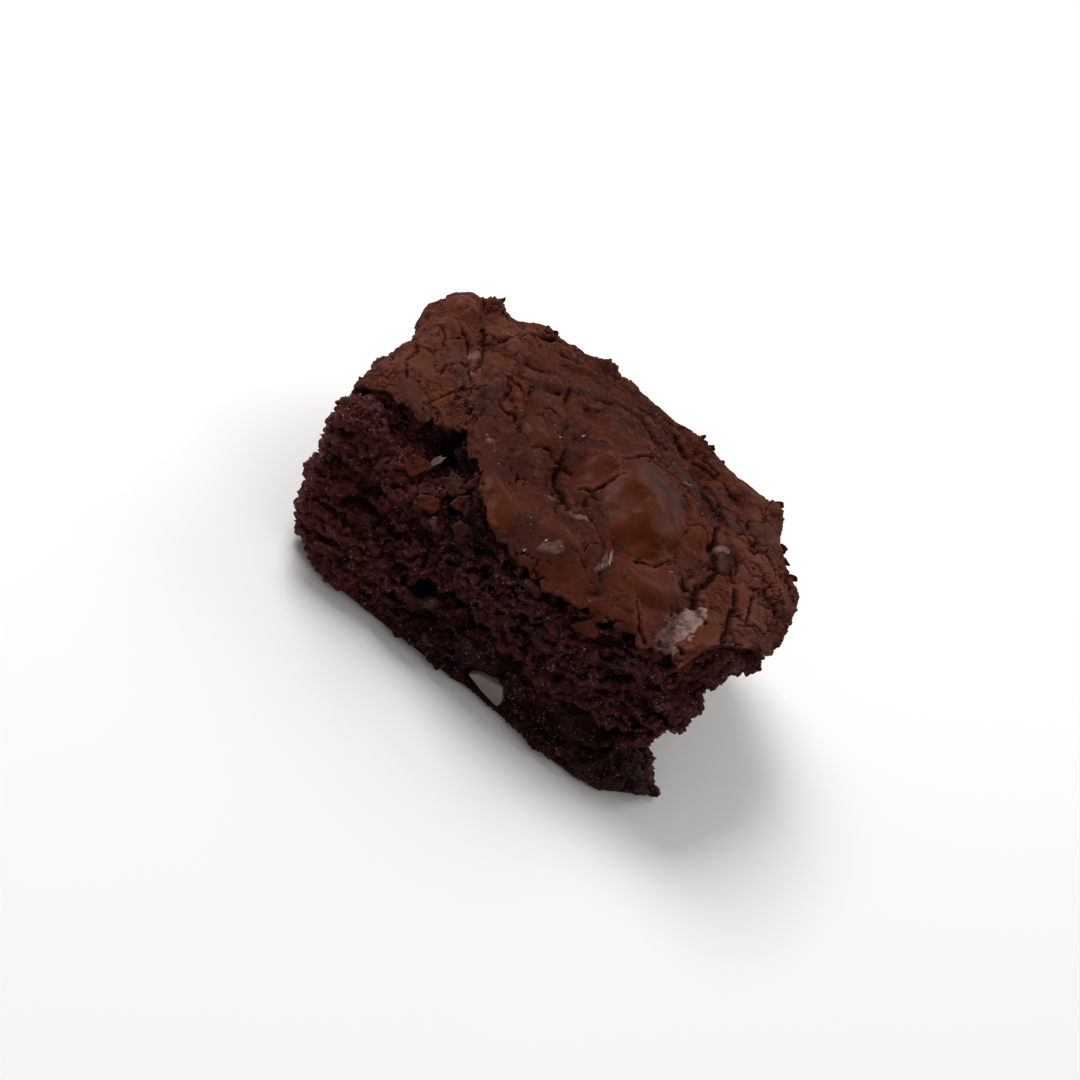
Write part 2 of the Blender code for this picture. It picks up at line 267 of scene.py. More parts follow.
# The crust's shoulders at its rear corners, as soft hills
SHOULDERS = (
    Crag(19.5, 23.0, 4.8, 1.8),
    Crag(25.5, 17.5, 3.6, 1.0),
    Crag(-31.0, 17.0, 3.6, 1.8),
)

# Places in the crumb, by what they fade with in X, Y and Z: a ramp, a ridge or nothing
Ramp = namedtuple("Ramp", "low high")
Ridge = namedtuple("Ridge", "middle half")

# The toe's corner, cut back over the base, its nick and its tip, and the crumb that hangs under the
# lip: how far each moves, and where
TOE_CUT = 3.8
TOE_CUT_PLACE = (Ramp(26.5, 34.0), Ramp(-17.0, -23.0), Ramp(8.0, 2.0))
TOE_NICK = 1.8
TOE_NICK_PLACE = (Ramp(24.0, 31.0), Ramp(-11.0, -17.0), Ridge(5.4, 2.4))
TOE_TIP = 1.4
TOE_TIP_PLACE = (Ramp(26.0, 31.0), Ridge(-19.0, 2.6), Ramp(3.6, 0.8))
LIP_HANG = 2.4
LIP_HANG_PLACE = (Ramp(28.0, 33.0), Ridge(-4.5, 6.5), Ramp(14.5, 20.5))

# The pinkish film on the toe, the darker foot of the front face and the reddish crumb under the lip
TOE_FILM_PLACE = (Ramp(18.0, 24.0), Ramp(-15.0, -18.0), Ramp(4.6, 2.0))
DARK_FOOT_PLACE = (Ramp(-16.0, -6.0), None, Ramp(13.0, 4.0))
RED_LIP_PLACE = (Ramp(28.0, 31.0), None, Ramp(18.5, 20.5))

# The shade painted in the slot under the crust's broken edge: its width, and how much wider it gets to the
# right and at its mouth
SHADE_WIDTH = 0.40
SHADE_WIDER = 0.35
SHADE_WIDER_X = (-24.0, -19.0)
SHADE_MOUTH = 1.5
SHADE_MOUTH_HALVES = (2.8, 4.0)

# How the crumb's layers rise to the right on the front face, in degrees
LAYER_SLOPE = 18.0

# Pale spots in the front face, as ellipses in X and Z
PALE_SPOTS = (
    Patch(-6.8, 8.4, 0.5, 1.0),
    Patch(-4.0, 4.0, 0.9, 0.45),
    Patch(16.8, 15.4, 0.35, 0.7, 20),
)


def smooth(low, high, value):
    """0 below low, 1 above high and an even ramp between them; low may be the larger."""
    t = np.clip((value - low) / (high - low), 0.0, 1.0)
    return t * t * (3.0 - 2.0 * t)


def mix(a, b, share):
    """A value that lies between a and b by a share."""
    return a + (b - a) * share


def hill(dx, dy, halves):
    """A smooth hill of height 1 that has fallen to a third at its half sizes."""
    return np.exp(-((dx / halves[0]) ** 2) - (dy / halves[1]) ** 2)


def ridge(distance, half):
    """A smooth ridge of height 1 that has fallen to a third at its half width."""
    return np.exp(-((distance / half) ** 2))


def round_hill(place, x, y):
    """A round hill with a place, a half width and a height."""
    return place.rise * hill(x - place.x, y - place.y, (place.half, place.half))


def highest(*values):
    """The highest of several values at each point."""
    return reduce(np.maximum, values)


def place_share(place, x, y, z):
    """1 inside a place, and 0 well outside it."""
    shares = []
    for fade, value in zip(place, (x, y, z)):
        if isinstance(fade, Ramp):
            shares.append(smooth(*fade, value))
        elif fade:
            shares.append(ridge(value - fade.middle, fade.half))
    return np.prod(shares, axis=0)


def noise_at(points, size, seed=0.0):
    """Smooth noise from about -1 to 1 whose lumps are about size wide."""
    moved = points / size + (0.0, 0.0, seed)
    return 1.6 * np.fromiter(map(noise.noise, moved.tolist()), float, len(points))


def noise_vector(points, size, seed):
    """Three smooth noises for each point, as a direction in which it may wander."""
    return np.stack([noise_at(points, size, seed + k) for k in range(3)], -1)


def wave(x, y, z, size, seed):
    """Smooth noise at places given by coordinates of any shape."""
    points = np.stack(np.broadcast_arrays(x, y, z), -1)
    return noise_at(points.reshape(-1, 3), size, seed).reshape(points.shape[:-1])


def fractal_at(points, size, seed=0.0, octaves=5):
    """Noise with finer noise on it, from about -1 to 1."""
    moved = points / size + (seed, 0.0, 0.0)
    draw = (noise.fractal(p, 0.9, 2.1, octaves) for p in moved.tolist())
    return np.fromiter(draw, float, len(points))


def cells_at(points, size, seed=0.0):
    """Distances to the nearest and second nearest middle of scattered cells, and the nearest middle."""
    moved = points / np.asarray(size) + (seed, 0.0, 0.0)
    found = [noise.voronoi(p) for p in moved.tolist()]
    near = np.array([distances[:2] for distances, middles in found])
    middle = np.array([tuple(middles[0]) for distances, middles in found])
    return near[:, 0], near[:, 1], middle


def cell_number(middle, turn=0.0):
    """A number from 0 to 1 that belongs to a cell."""
    return np.mod(np.abs(np.sin(middle @ (12.9898, 78.233, 37.719) + turn)) * 43758.5453, 1.0)


def line_at(points, x):
    """The height at x of a line through points."""
    return np.interp(x, [p[0] for p in points], [p[1] for p in points])


def path_distance(path, x, y):
    """The distance in the plan to a path of straight runs that wander a little."""
    stray_x, stray_y = (wave(x, y, 0.0, 5.0, seed) * CREASE_WANDER for seed in (51.0, 57.0))
    return path_gap(path, x + stray_x, y + stray_y)


def path_gap(path, here_x, here_y):
    """The distance in the plan to a path of straight runs."""
    nearest = np.full(np.shape(here_x), 1.0e9)
    for (ax, ay), (bx, by) in zip(path, path[1:]):
        run_x, run_y = bx - ax, by - ay
        share = ((here_x - ax) * run_x + (here_y - ay) * run_y) / (run_x * run_x + run_y * run_y)
        share = np.clip(share, 0.0, 1.0)
        gap = np.hypot(here_x - ax - run_x * share, here_y - ay - run_y * share)
        nearest = np.minimum(nearest, gap)
    return nearest


def ellipse_reach(shape, x, y):
    """How far out a place lies on an ellipse with a centre, half sizes and turn: 1 on its edge."""
    turn = math.radians(shape.turn)
    dx, dy = x - shape.x, y - shape.y
    along = (dx * math.cos(turn) + dy * math.sin(turn)) / shape.along
    across = (dy * math.cos(turn) - dx * math.sin(turn)) / shape.across
    return np.sqrt(along * along + across * across)


def crust_height(x, y):
    """The height of the whole crust, as if no corner had broken away."""
    z = RIM_Z + wave(x, y, 0.0, BROAD_WAVE[0], 3.0) * BROAD_WAVE[1]
    z += DOME_RISE * hill(x - DOME_CENTRE[0], y - DOME_CENTRE[1], DOME_HALVES)
    z += LEFT_RIM_RISE * hill(x - LEFT_RIM_CENTRE[0], y - LEFT_RIM_CENTRE[1], LEFT_RIM_HALVES)
    z -= SAG_DEPTH * ridge(x - SAG_X, SAG_HALF) * smooth(FRONT_Y + SAG_REACH, FRONT_Y, y)
    z -= FRONT_ROLL * smooth(FRONT_Y + FRONT_ROLL_REACH, FRONT_Y, y) ** 2 * smooth(*FRONT_ROLL_SPAN, x)
    z += wave(x, y, 0.0, FINE_WAVE[0], 11.0) * FINE_WAVE[1]
    domes = [b.rise * np.maximum(1.0 - ellipse_reach(b, x, y) ** 2, 0.0) ** DOME_SOFTNESS for b in BLISTERS]
    z += np.max(domes, axis=0)
    z += sum(round_hill(crag, x, y) for crag in CRAGS)
    for crease in CREASES:
        z -= crease.depth * ridge(path_distance(crease.path, x, y), crease.half)
    return z


def broken_height(x, y):
    """The height of the crumb that shows where the crust has broken away."""
    z = BROKEN_TOP - BROKEN_SLOPE * np.maximum(BROKEN_SLOPE_Y - y, 0.0)
    z += LUMP_RISE * hill(x - LUMP_CENTRE[0], y - LUMP_CENTRE[1], LUMP_HALVES)
    z += wave(x, y, 0.0, BROKEN_ROUGH[0], 21.0) * BROKEN_ROUGH[1]
    z -= SLOT_DEPTH * ridge(path_distance(BREAK_LINE[2:], x, y), SLOT_HALF)
    return z


def break_y(x):
    """Where the crust's broken edge lies over x."""
    return line_at(BREAK_LINE, x) + wave(x, 0.0, 0.0, BREAK_WOBBLE[0], 31.0) * BREAK_WOBBLE[1]


def front_side(x, y):
    """1 in front of the crust's broken edge and just under it, 0 farther back."""
    return smooth(3.5, 2.0, y - break_y(x)) * (x < BREAK_LINE[-1][0] + 2.0)


def broken_share(x, y):
    """1 in the broken corner and 0 under the crust, with a steep step between them."""
    return np.where(x > BREAK_LINE[-1][0], 0.0, smooth(*BREAK_STEP, y - break_y(x)))


def rolled(s, t):
    """How far the crust rolls down near the left, right and back edges of the plan."""
    reach = ROLL_RADIUS / (0.5 * (RIGHT_X - LEFT_X))
    sides = np.maximum(smooth(1.0 - reach, 1.0, np.abs(s)), smooth(1.0 - reach, 1.0, t))
    return ROLL_DROP * sides * sides


def plan_point(s, t, w, lean=1.0):
    """The place in the plan of the square's point (s, t), both from -1 to 1, at height share w."""
    right, back = 0.5 * (s + 1.0), 0.5 * (t + 1.0)
    front_soft = mix(mix(*FRONT_LEFT, w), mix(*FRONT_RIGHT, w), right)
    rear_soft = mix(mix(*BACK_LEFT, w), mix(*BACK_RIGHT, w), right)
    soft = mix(front_soft, rear_soft, back)
    s_round = s * np.sqrt(1.0 - 0.5 * soft * t * t)
    t_round = t * np.sqrt(1.0 - 0.5 * soft * s * s)
    x = mix(LEFT_X, RIGHT_X, 0.5 * (s_round + 1.0))
    back_edge = BACK_Y + BACK_BULGE * ridge(x - BACK_BULGE_X, BACK_BULGE_HALF)
    y = mix(FRONT_Y, back_edge, 0.5 * (t_round + 1.0))
    reach = np.clip(y, *LEAN_Y) - 0.5 * (LEAN_Y[0] + LEAN_Y[1])
    x = x + lean * LEAN_SLOPE * reach * ridge(x - LEAN_X, LEAN_HALF) * smooth(*LEAN_FADE, y)
    return x, y


def tear(along, z, seed):
    """The depth of the torn crumb at a place on a side: long low fissures between rough lumps."""
    places = np.stack(np.broadcast_arrays(along / FISSURE_LENGTH, seed, z / FISSURE_HEIGHT), -1)
    flat = places.reshape(-1, 3)
    fissure = noise_at(flat, 1.0) + 0.55 * noise_at(flat * 2.1, 1.0)
    fissure = np.clip(fissure.reshape(places.shape[:-1]) * (2.2 / 1.6), 0.0, 1.0)
    lumps = wave(along, seed, z, LUMP_SIZE, 5.0) * LUMP_HEIGHT
    return (fissure - FISSURE_SHARE) * FISSURE_DEPTH - lumps


def lip_share(y):
    """1 along the right end's lip and 0 in front of it and behind it."""
    return smooth(LIP_SPAN[0], LIP_SPAN[1], y) * smooth(LIP_SPAN[3], LIP_SPAN[2], y)


def right_push(y, z):
    """How far the right end stands out past RIGHT_X."""
    lip = LIP_REACH * lip_share(y) * smooth(*LIP_UNDERSIDE, z)
    toe = TOE_REACH * smooth(TOE_HEIGHT, 1.0, z) * smooth(*TOE_SPAN, y)
    return lip + toe - NICK_DEPTH * ridge(z - NICK_Z, NICK_HALF)


def left_push(y, z):
    """How far the left end stands out past LEFT_X."""
    foot = LEFT_FOOT_ROUND * smooth(LEFT_FOOT_HEIGHT, 0.0, z) ** 2 * smooth(*LEFT_FOOT_SPAN, y)
    hollow = LEFT_HOLLOW * ridge(y - LEFT_HOLLOW_Y, LEFT_HOLLOW_HALF)
    return LEFT_BULGE * smooth(*LEFT_BULGE_SPAN, z) - foot - hollow


def front_push(x, z, drop):
    """How far the front face stands out past FRONT_Y, for a drop below its upper edge."""
    foot = FOOT_REACH * smooth(FOOT_SPAN[0], FOOT_SPAN[1], x) * smooth(FOOT_HEIGHT, 0.0, z)
    leaning = smooth(*TORN_LEAN_SPAN, x) * smooth(TORN_LEAN_HEIGHT, 0.0, drop)
    recess = RECESS_DEPTH * smooth(*RECESS_TOP, drop) * smooth(*RECESS_FOOT, drop)
    return foot - TORN_LEAN * leaning * leaning - recess


def base_inset(z):
    """The rounding of the edge between the sides and the base."""
    inside = np.clip(BASE_EDGE - z, 0.0, BASE_EDGE)
    return BASE_EDGE - np.sqrt(BASE_EDGE * BASE_EDGE - inside * inside)


def placed(s, t, x, y, z, top, torn=1.0, inset=0.0):
    """A point of the outside after the sides' pushes, tears and insets, as an array of x, y and z."""
    drop = top - z
    near = 1.0 - EDGE_BLEND
    right, left = smooth(near, 1.0, s), smooth(near, 1.0, -s)
    front, back = smooth(near, 1.0, -t), smooth(near, 1.0, t)
    torn = torn * smooth(*TORN_ABOVE_BASE, z) * smooth(*TORN_BELOW_TOP, drop)
    round_in = base_inset(z) + inset
    move_x = right * (right_push(y, z) - torn * tear(y, z, TEAR_SEEDS["right"]) - round_in)
    move_x -= left * (left_push(y, z) - torn * tear(y, z, TEAR_SEEDS["left"]) - round_in)
    move_y = back * (-torn * tear(x, z, TEAR_SEEDS["back"]) - round_in)
    move_y -= front * (front_push(x, z, drop) - torn * tear(x, z, TEAR_SEEDS["front"]) - base_inset(z))
    return np.stack((x + move_x, y + move_y, z), -1)


def to_metres(points):
    """Points of the design's frame in millimetres, as points of the part's frame in metres."""
    return (np.asarray(points) + (*CENTRE_SHIFT, 0.0)) * MM


def shown(name, data):
    """A new object of the scene with this data."""
    made = bpy.data.objects.new(name, data)
    bpy.context.collection.objects.link(made)
    return made


def made_object(name, points, faces, material, smooth_shaded=True):
    """A shown mesh object from points in millimetres and lists of corner numbers."""
    mesh = bpy.data.meshes.new(name)
    mesh.from_pydata(to_metres(points), [], faces)
    mesh.materials.append(material)
    if smooth_shaded:
        mesh.shade_smooth()
    return shown(name, mesh)


def set_mask(made, name, values):
    """Keeps one number for each point of a mesh, which its material reads by name."""
    attribute = made.data.attributes.new(name, "FLOAT", "POINT")
    attribute.data.foreach_set("value", np.asarray(values, np.float32).ravel())


def relaxed(points, edges, rounds, share):
    """Points drawn towards their neighbours, by a share for each point."""
    count = np.bincount(edges.ravel(), minlength=len(points))
    for _ in range(rounds):
        pull = np.empty_like(points)
        for axis in range(points.shape[1]):
            pull[:, axis] = np.bincount(edges[:, 0], points[edges[:, 1], axis], len(points))
            pull[:, axis] += np.bincount(edges[:, 1], points[edges[:, 0], axis], len(points))
        points = points + share[:, None] * (pull / count[:, None] - points)
    return points


def blurred(values, edges, rounds):
    """Values averaged again and again with their neighbours'."""
    return relaxed(values[:, None], edges, rounds, np.full(len(values), 0.5))[:, 0]


def stand_for_brownie(piece):
    """Says that a piece shows the brownie in place of its solid."""
    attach(piece, BODY)
    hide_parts(NODE)


def box_grid(cells):
    """The corners and faces of a closed box of side 2 whose faces are divided into cells."""
    number = np.full([n + 1 for n in cells], -1)
    shell = np.ones(number.shape, bool)
    shell[1:-1, 1:-1, 1:-1] = False
    number[shell] = np.arange(shell.sum())
    points = np.argwhere(shell) / np.array(cells) * 2.0 - 1.0
    faces = []
    for axis in range(3):
        for end in (0, -1):
            sheet = np.take(number, end, axis=axis)
            corners = (sheet[:-1, :-1], sheet[1:, :-1], sheet[1:, 1:], sheet[:-1, 1:])
            quads = np.stack(corners, -1).reshape(-1, 4)
            inward = (end == 0) != (axis == 1)
            faces.append(quads[:, ::-1] if inward else quads)
    return points, np.concatenate(faces)


def crumb_rows(s_values, rows):
    """Each column's places from front to back, close together where the crumb shows, as t."""
    fine = np.linspace(-1.0, 1.0, 220)
    s, t = np.meshgrid(s_values, fine, indexing="ij")
    x, y = plan_point(s, t, 1.0)
    share = broken_share(x, y)
    z = mix(crust_height(x, y), broken_height(x, y), share)
    run = np.hypot(np.diff(y, axis=1), np.diff(z, axis=1)) * (1.0 + SHOWN_DENSITY * (share[:, 1:] > 0.02))
    reached = np.concatenate((np.zeros((len(run), 1)), np.cumsum(run, axis=1)), axis=1)
    even = np.linspace(0.0, 1.0, rows + 1)
    return np.stack([np.interp(even, column / column[-1], fine) for column in reached])


def first_crumb(shape):
    """The crumb's coarse form: the slab without its crust, sunk where the crust lies on it."""
    cells = [int(round(size / FIRST_CELL)) for size in (RIGHT_X - LEFT_X, BACK_Y - FRONT_Y, RIM_Z)]
    box, faces = box_grid(cells)
    column = np.rint(0.5 * (box[:, 0] + 1.0) * cells[0]).astype(int)
    row = np.rint(0.5 * (box[:, 1] + 1.0) * cells[1]).astype(int)
    s_values = np.linspace(-1.0, 1.0, cells[0] + 1)
    rows = np.tile(np.linspace(-1.0, 1.0, cells[1] + 1), (len(s_values), 1))
    near_break = s_values < BREAK_COLUMNS
    rows[near_break] = crumb_rows(s_values[near_break], cells[1])
    s, t, w = box[:, 0], rows[column, row], 0.5 * (box[:, 2] + 1.0)
    x, y = plan_point(s, t, w)
    share = broken_share(x, y)
    top = mix(crust_height(x, y) - rolled(s, t), broken_height(x, y), share)
    covered = smooth(0.94, 0.80, np.maximum(np.abs(s), np.abs(t))) * smooth(2.0, 5.0, y - break_y(x))
    bare = smooth(0.0, 6.0, line_at(BARE_CORNER, s) - y) * (s > BARE_CORNER[0][0])
    z = (top - (CRUST_SINK + COVERED_SINK * covered + CORNER_SINK * bare) * (1.0 - share)) * w
    inset = shape.skirt_inset * smooth(SKIRT_LENGTH + 1.5, SKIRT_LENGTH - 1.0, top - z) * (1.0 - share)
    return placed(s, t, x, y, z, top, inset=inset), faces


def read_all(items, name, width, kind=np.float32):
    """One property of all of a mesh's items, a row for each."""
    values = np.empty(len(items) * width, kind)
    items.foreach_get(name, values)
    return values.reshape(-1, width)


def mesh_points(mesh):
    """A mesh's points in the design's frame, in millimetres."""
    return read_all(mesh.vertices, "co", 3).astype(float) / MM - (*CENTRE_SHIFT, 0.0)


def mesh_normals(mesh):
    """The normals at a mesh's points."""
    return read_all(mesh.vertex_normals, "vector", 3).astype(float)


def mesh_edges(mesh):
    """The pairs of points that a mesh's edges join."""
    return read_all(mesh.edges, "vertices", 2, np.int32)


def keep_evaluated(made):
    """Replaces an object's mesh with the one that its modifiers make, and drops the modifiers."""
    graph = bpy.context.evaluated_depsgraph_get()
    kept = bpy.data.meshes.new_from_object(made.evaluated_get(graph), depsgraph=graph)
    made.modifiers.clear()
    made.data = kept


def crumb_hidden(points, normals):
    """True where the crust lies over the crumb, and on the base."""
    x, y, z = points.T
    inner = (np.abs(x) < RIGHT_X - 4.0) & (y > FRONT_Y + 2.5) & (y < BACK_Y - 2.0)
    whole = (x > BREAK_LINE[-1][0] + 1.5) | (y > break_y(x) + 2.5)
    covered = (normals[:, 2] > 0.6) & (z > 15.0) & inner & whole
    return covered | ((normals[:, 2] < -0.7) & (z < 0.4))


def chunk_patch():
    """The pale chunk's place in the front face, as an ellipse in X and Z."""
    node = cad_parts[CHUNK_NODE]
    corners = np.array([node.matrix_world @ Vector(corner) for corner in node.bound_box]) / MM
    low, high = corners.min(axis=0), corners.max(axis=0)
    middle = 0.5 * (low + high) - (*CENTRE_SHIFT, 0.0)
    return Patch(middle[0], middle[2], 0.5 * (high[0] - low[0]), 0.5 * (high[2] - low[2]))


def broken_edge():
    """The path across the plan of the crust's edge round the broken corner."""
    a = np.linspace(-1.0, BREAK_COLUMNS, 120)
    x, y = plan_point(a, front_limit(a), 1.0, lean=edge_lean(a))
    return list(zip(x, y))


def layered(points):
    """Points measured along and across the crumb's layers, which rise to the right."""
    slope = math.radians(LAYER_SLOPE)
    x, y, z = points.T
    along = x * math.cos(slope) + z * math.sin(slope)
    return np.stack((along, y, z * math.cos(slope) - x * math.sin(slope)), -1)


def front_patch(patches, x, z, patchy, inner):
    """How fully each place lies in one of several patches of the front face."""
    return smooth(1.2, inner, np.min([ellipse_reach(patch, x, z) for patch in patches], axis=0) + patchy)


def slot_shade(x, y, z, patchy):
    """How strongly shade is painted on each place near the slot under the crust's broken edge."""
    width = SHADE_WIDTH + SHADE_WIDER * smooth(*SHADE_WIDER_X, x)
    width += SHADE_MOUTH * hill(x - SLOT_MOUTH[0], y - SLOT_MOUTH[1], SHADE_MOUTH_HALVES)
    near_break = path_gap(broken_edge(), x, y)
    return smooth(1.25, 0.45, (near_break + 1.6 * patchy) / width) * smooth(12.0, 16.0, z) * front_side(x, y)


def crumb_relief(seen, shape):
    """The fine relief of torn crumb along its normals, and the masks that its material reads."""
    x, y, z = seen.T
    front = smooth(FRONT_Y + 7.0, FRONT_Y + 4.0, y)
    patchy = 0.35 * noise_at(seen, 2.4, 67.0) + 0.25 * noise_at(seen, 0.8, 68.0)
    smear = front_patch(SMEARS, x, z, patchy, 0.7) * front
    pale = front_patch(PALE_SPOTS, x, z, patchy, 0.8) * front
    warp = noise_vector(seen, 1.8, 71.0)
    laid = layered(seen)
    bent = (laid + 0.55 * warp) / CLUMP_STRETCH
    swell = fractal_at(bent, 2.0, 2.0, octaves=5) * shape.crumb_swell
    clump, clump_next, middle = cells_at(bent, shape.clump_size, 3.0)
    level = cell_number(middle)
    clumps = (level - 0.5 + 0.35 * (smooth(0.0, 0.35, clump_next - clump) - 0.8)) * shape.clump_height
    grain, grain_next, grain_middle = cells_at(seen + 0.3 * warp, 0.55, 9.0)
    raised = smooth(0.0, 0.3, grain_next - grain)
    grains = (cell_number(grain_middle) - 0.5 + 0.4 * raised) * shape.grain_height
    fine = fractal_at(seen, 0.75, 4.0, octaves=3) * shape.crumb_grain
    smeared = 0.35 * swell + 0.30 + 0.3 * fine
    height = mix(swell + clumps + grains + fine, smeared, 0.75 * highest(smear, pale))
    torn_long = noise_at((laid + 0.7 * warp) / PORE_STRETCH, 1.0, 33.0)
    pores = smooth(0.26, 0.56, torn_long) + 0.25 * smooth(0.42, 0.68, noise_at(bent, 0.8, 37.0))
    height -= pores * shape.pore_depth * (1.0 - 0.8 * smear)
    for fissure in FISSURES:
        reach = ellipse_reach(fissure, x + warp[:, 0], z + 0.5 * warp[:, 2])
        height -= fissure.rise * smooth(1.25, 0.45, reach) * front
    reach = ellipse_reach(chunk_patch(), x, z)
    height = mix(height, -shape.chunk_clearance, smooth(1.45, 1.05, reach) * front)
    toe = place_share(TOE_FILM_PLACE, x, y, z + 1.4 * warp[:, 1])
    height *= 1.0 - 0.6 * toe
    in_hollow = 0.72 + 0.28 * smooth(0.2, -0.2, fine / shape.crumb_grain)
    left_end = smooth(-8.0, -22.0, x + 3.0 * noise_at(seen, 5.0, 19.0))
    masks = {
        "smear": smear,
        "pale": pale,
        "tone": 0.65 * level + 0.35 * cell_number(grain_middle, 2.0),
        # Shade painted in the slot under the crust's broken edge, stronger in the crumb's hollows
        "shade": slot_shade(x, y, z, patchy) * in_hollow,
        "toe": toe,
        "low": place_share(DARK_FOOT_PLACE, x, y, z + 2.0 * warp[:, 0]) * front,
        "reddish": highest(left_end, place_share(RED_LIP_PLACE, x, y, z)),
    }
    return height, masks


def toe_and_lip(points):
    """The last bends of the crumb's right end: its toe cut back, its nick, and its hanging lip."""
    toe, nick, tip, hang = [place_share(place, *points.T) for place in (
        TOE_CUT_PLACE, TOE_NICK_PLACE, TOE_TIP_PLACE, LIP_HANG_PLACE)]
    moves = np.stack((0.5 * LIP_HANG * hang - TOE_NICK * nick + TOE_TIP * tip, TOE_CUT * toe,
                      0.6 * toe - LIP_HANG * hang), -1)
    return points + moves


def make_crumb(shape, colours):
    """The torn crumb under the crust."""
    points, faces = first_crumb(shape)
    crumb = made_object("brownie_crumb", points, faces.tolist(), torn_crumb(colours))
    even = crumb.modifiers.new("even cells", "REMESH")
    even.mode = "VOXEL"
    even.voxel_size = shape.crumb_cell * MM
    keep_evaluated(crumb)
    mesh = crumb.data
    mesh.shade_smooth()
    points, edges = mesh_points(mesh), mesh_edges(mesh)
    on_base = points[:, 2] < 0.2
    points[:, 2] = np.where(on_base, 0.0, points[:, 2])
    points = toe_and_lip(relaxed(points, edges, 6, np.where(on_base, 0.0, 0.5)))
    mesh.vertices.foreach_set("co", to_metres(points).ravel())
    mesh.update()
    normals = mesh_normals(mesh)

    hidden = crumb_hidden(points, normals)
    seen = points[~hidden]
    height, masks = np.zeros(len(points)), {}
    height[~hidden], shown_masks = crumb_relief(seen, shape)
    for name, values in shown_masks.items():
        masks[name] = np.zeros(len(points))
        masks[name][~hidden] = values
    height *= smooth(0.0, 1.6, points[:, 2])
    # The hollow mask lets the crumb's material paint shade in its hollows and a highlight on its ridges
    masks["hollow"] = (blurred(height, edges, 22) - height) / shape.clump_height
    uneven = 1.4 * noise_at(points, 3.0, 15.0) + 0.8 * noise_at(points, 0.9, 16.0)
    masks["rim"] = smooth(3.2, 0.8, points[:, 2] + uneven)
    ragged = 0.40 * noise_at(points, 1.7, 93.0) + 0.30 * noise_at(points, 0.7, 94.0)
    ragged *= smooth(3.0, 0.6, points[:, 2])
    points = points + normals * height[:, None] + normals * (1.0, 1.0, 0.0) * ragged[:, None]
    points[~hidden, 2] += noise_at(seen, 1.5, 91.0) * shape.overhang * smooth(0.4, 2.5, seen[:, 2])
    points[:, 2] = np.maximum(points[:, 2], 0.0)
    mesh.vertices.foreach_set("co", to_metres(points).ravel())
    for name, values in masks.items():
        set_mask(crumb, name, values)
    thin_out(crumb, hidden, shape.piece_triangles)
    stand_for_brownie(crumb)
    return crumb


def thin_out(made, hidden, triangles):
    """Drops points, first those that don't show, until the piece has this many triangles."""
    group = made.vertex_groups.new(name="hidden")
    group.add(np.flatnonzero(hidden).tolist(), 1.0, "REPLACE")
    group.add(np.flatnonzero(~hidden).tolist(), SHOWN_WEIGHT, "REPLACE")
    have = sum(len(face.vertices) - 2 for face in made.data.polygons)
    fewer = made.modifiers.new("thin out", "DECIMATE")
    fewer.ratio = min(triangles / have, 1.0)
    fewer.vertex_group = group.name
    keep_evaluated(made)
    made.data.validate()
    made.vertex_groups.clear()


def front_limit(a):
    """Where each column of the crust's grid begins at the front, as t of the plan."""
    s = np.clip(a, -1.0, 1.0)
    low, high = np.full(len(a), -1.0), np.full(len(a), 0.6)
    for _ in range(30):
        middle = 0.5 * (low + high)
        x, y = plan_point(s, middle, 1.0, lean=edge_lean(s))
        ragged = 1.5 * wave(x, y, 0.0, 2.4, 41.0) + 0.9 * wave(x, y, 0.0, 0.9, 43.0)
        ragged += 0.5 * wave(x, y, 0.0, 0.5, 44.0)
        in_front = (y < break_y(x) + ragged) & (x < BREAK_LINE[-1][0])
        in_front |= (y < line_at(BARE_CORNER, s) + ragged) & (s > BARE_CORNER[0][0])
        low = np.where(in_front, middle, low)
        high = np.where(in_front, high, middle)
    x, _ = plan_point(s, -1.0, 1.0)
    jag = 0.45 + 0.8 * wave(x, 5.0, 0.0, 2.8, 45.0) + 0.55 * wave(x, 9.0, 0.0, 0.9, 47.0)
    jag_share = np.clip(jag, 0.0, 2.0) / (0.5 * (BACK_Y - FRONT_Y))
    return np.maximum(high, -1.0 + jag_share)


def edge_lean(s):
    """The grid of the crust leans as the solid's does at the ends alone."""
    return smooth(0.8, 1.0, np.abs(s))


def crust_base(columns, rows):
    """The crust's grid before its fine relief, and how far down the side each point lies."""
    fine = np.linspace(-CRUST_REACH, CRUST_REACH, 900)
    run = RIGHT_X * fine + LIP_REACH * smooth(1.0 - EDGE_BLEND, 1.0, fine)
    a = np.interp(np.linspace(run[0], run[-1], columns + 1), run, fine)
    front = front_limit(a)[:, None]
    b = mix(front, CRUST_REACH, np.linspace(0.0, 1.0, rows + 1)[None, :])
    a = np.broadcast_to(a[:, None], b.shape)
    ring = np.maximum(np.maximum(np.abs(a), b), 1.0)
    s = a / ring
    t = np.where(b > 0.0, b / ring, b)
    down = (ring - 1.0) / (CRUST_REACH - 1.0)
    x, y = plan_point(s, t, 1.0, lean=edge_lean(s))
    top = crust_height(x, y) - rolled(s, t)
    length = mix(SKIRT_LENGTH, LIP_SKIRT, lip_share(y) * (s > 0.5))
    length = length * (1.0 + 0.45 * wave(x, y, 0.0, 3.0, 61.0) + 0.40 * wave(x, y, 0.0, 0.9, 63.0))
    z = top - down * length
    points = placed(s, t, x, y, z, top, torn=0.0)
    return points, s, t, down


def grid_edges(columns, rows):
    """The pairs of neighbours in a grid."""
    number = np.arange((columns + 1) * (rows + 1)).reshape(columns + 1, rows + 1)
    across = np.stack((number[:-1].ravel(), number[1:].ravel()), -1)
    along = np.stack((number[:, :-1].ravel(), number[:, 1:].ravel()), -1)
    return np.concatenate((across, along))


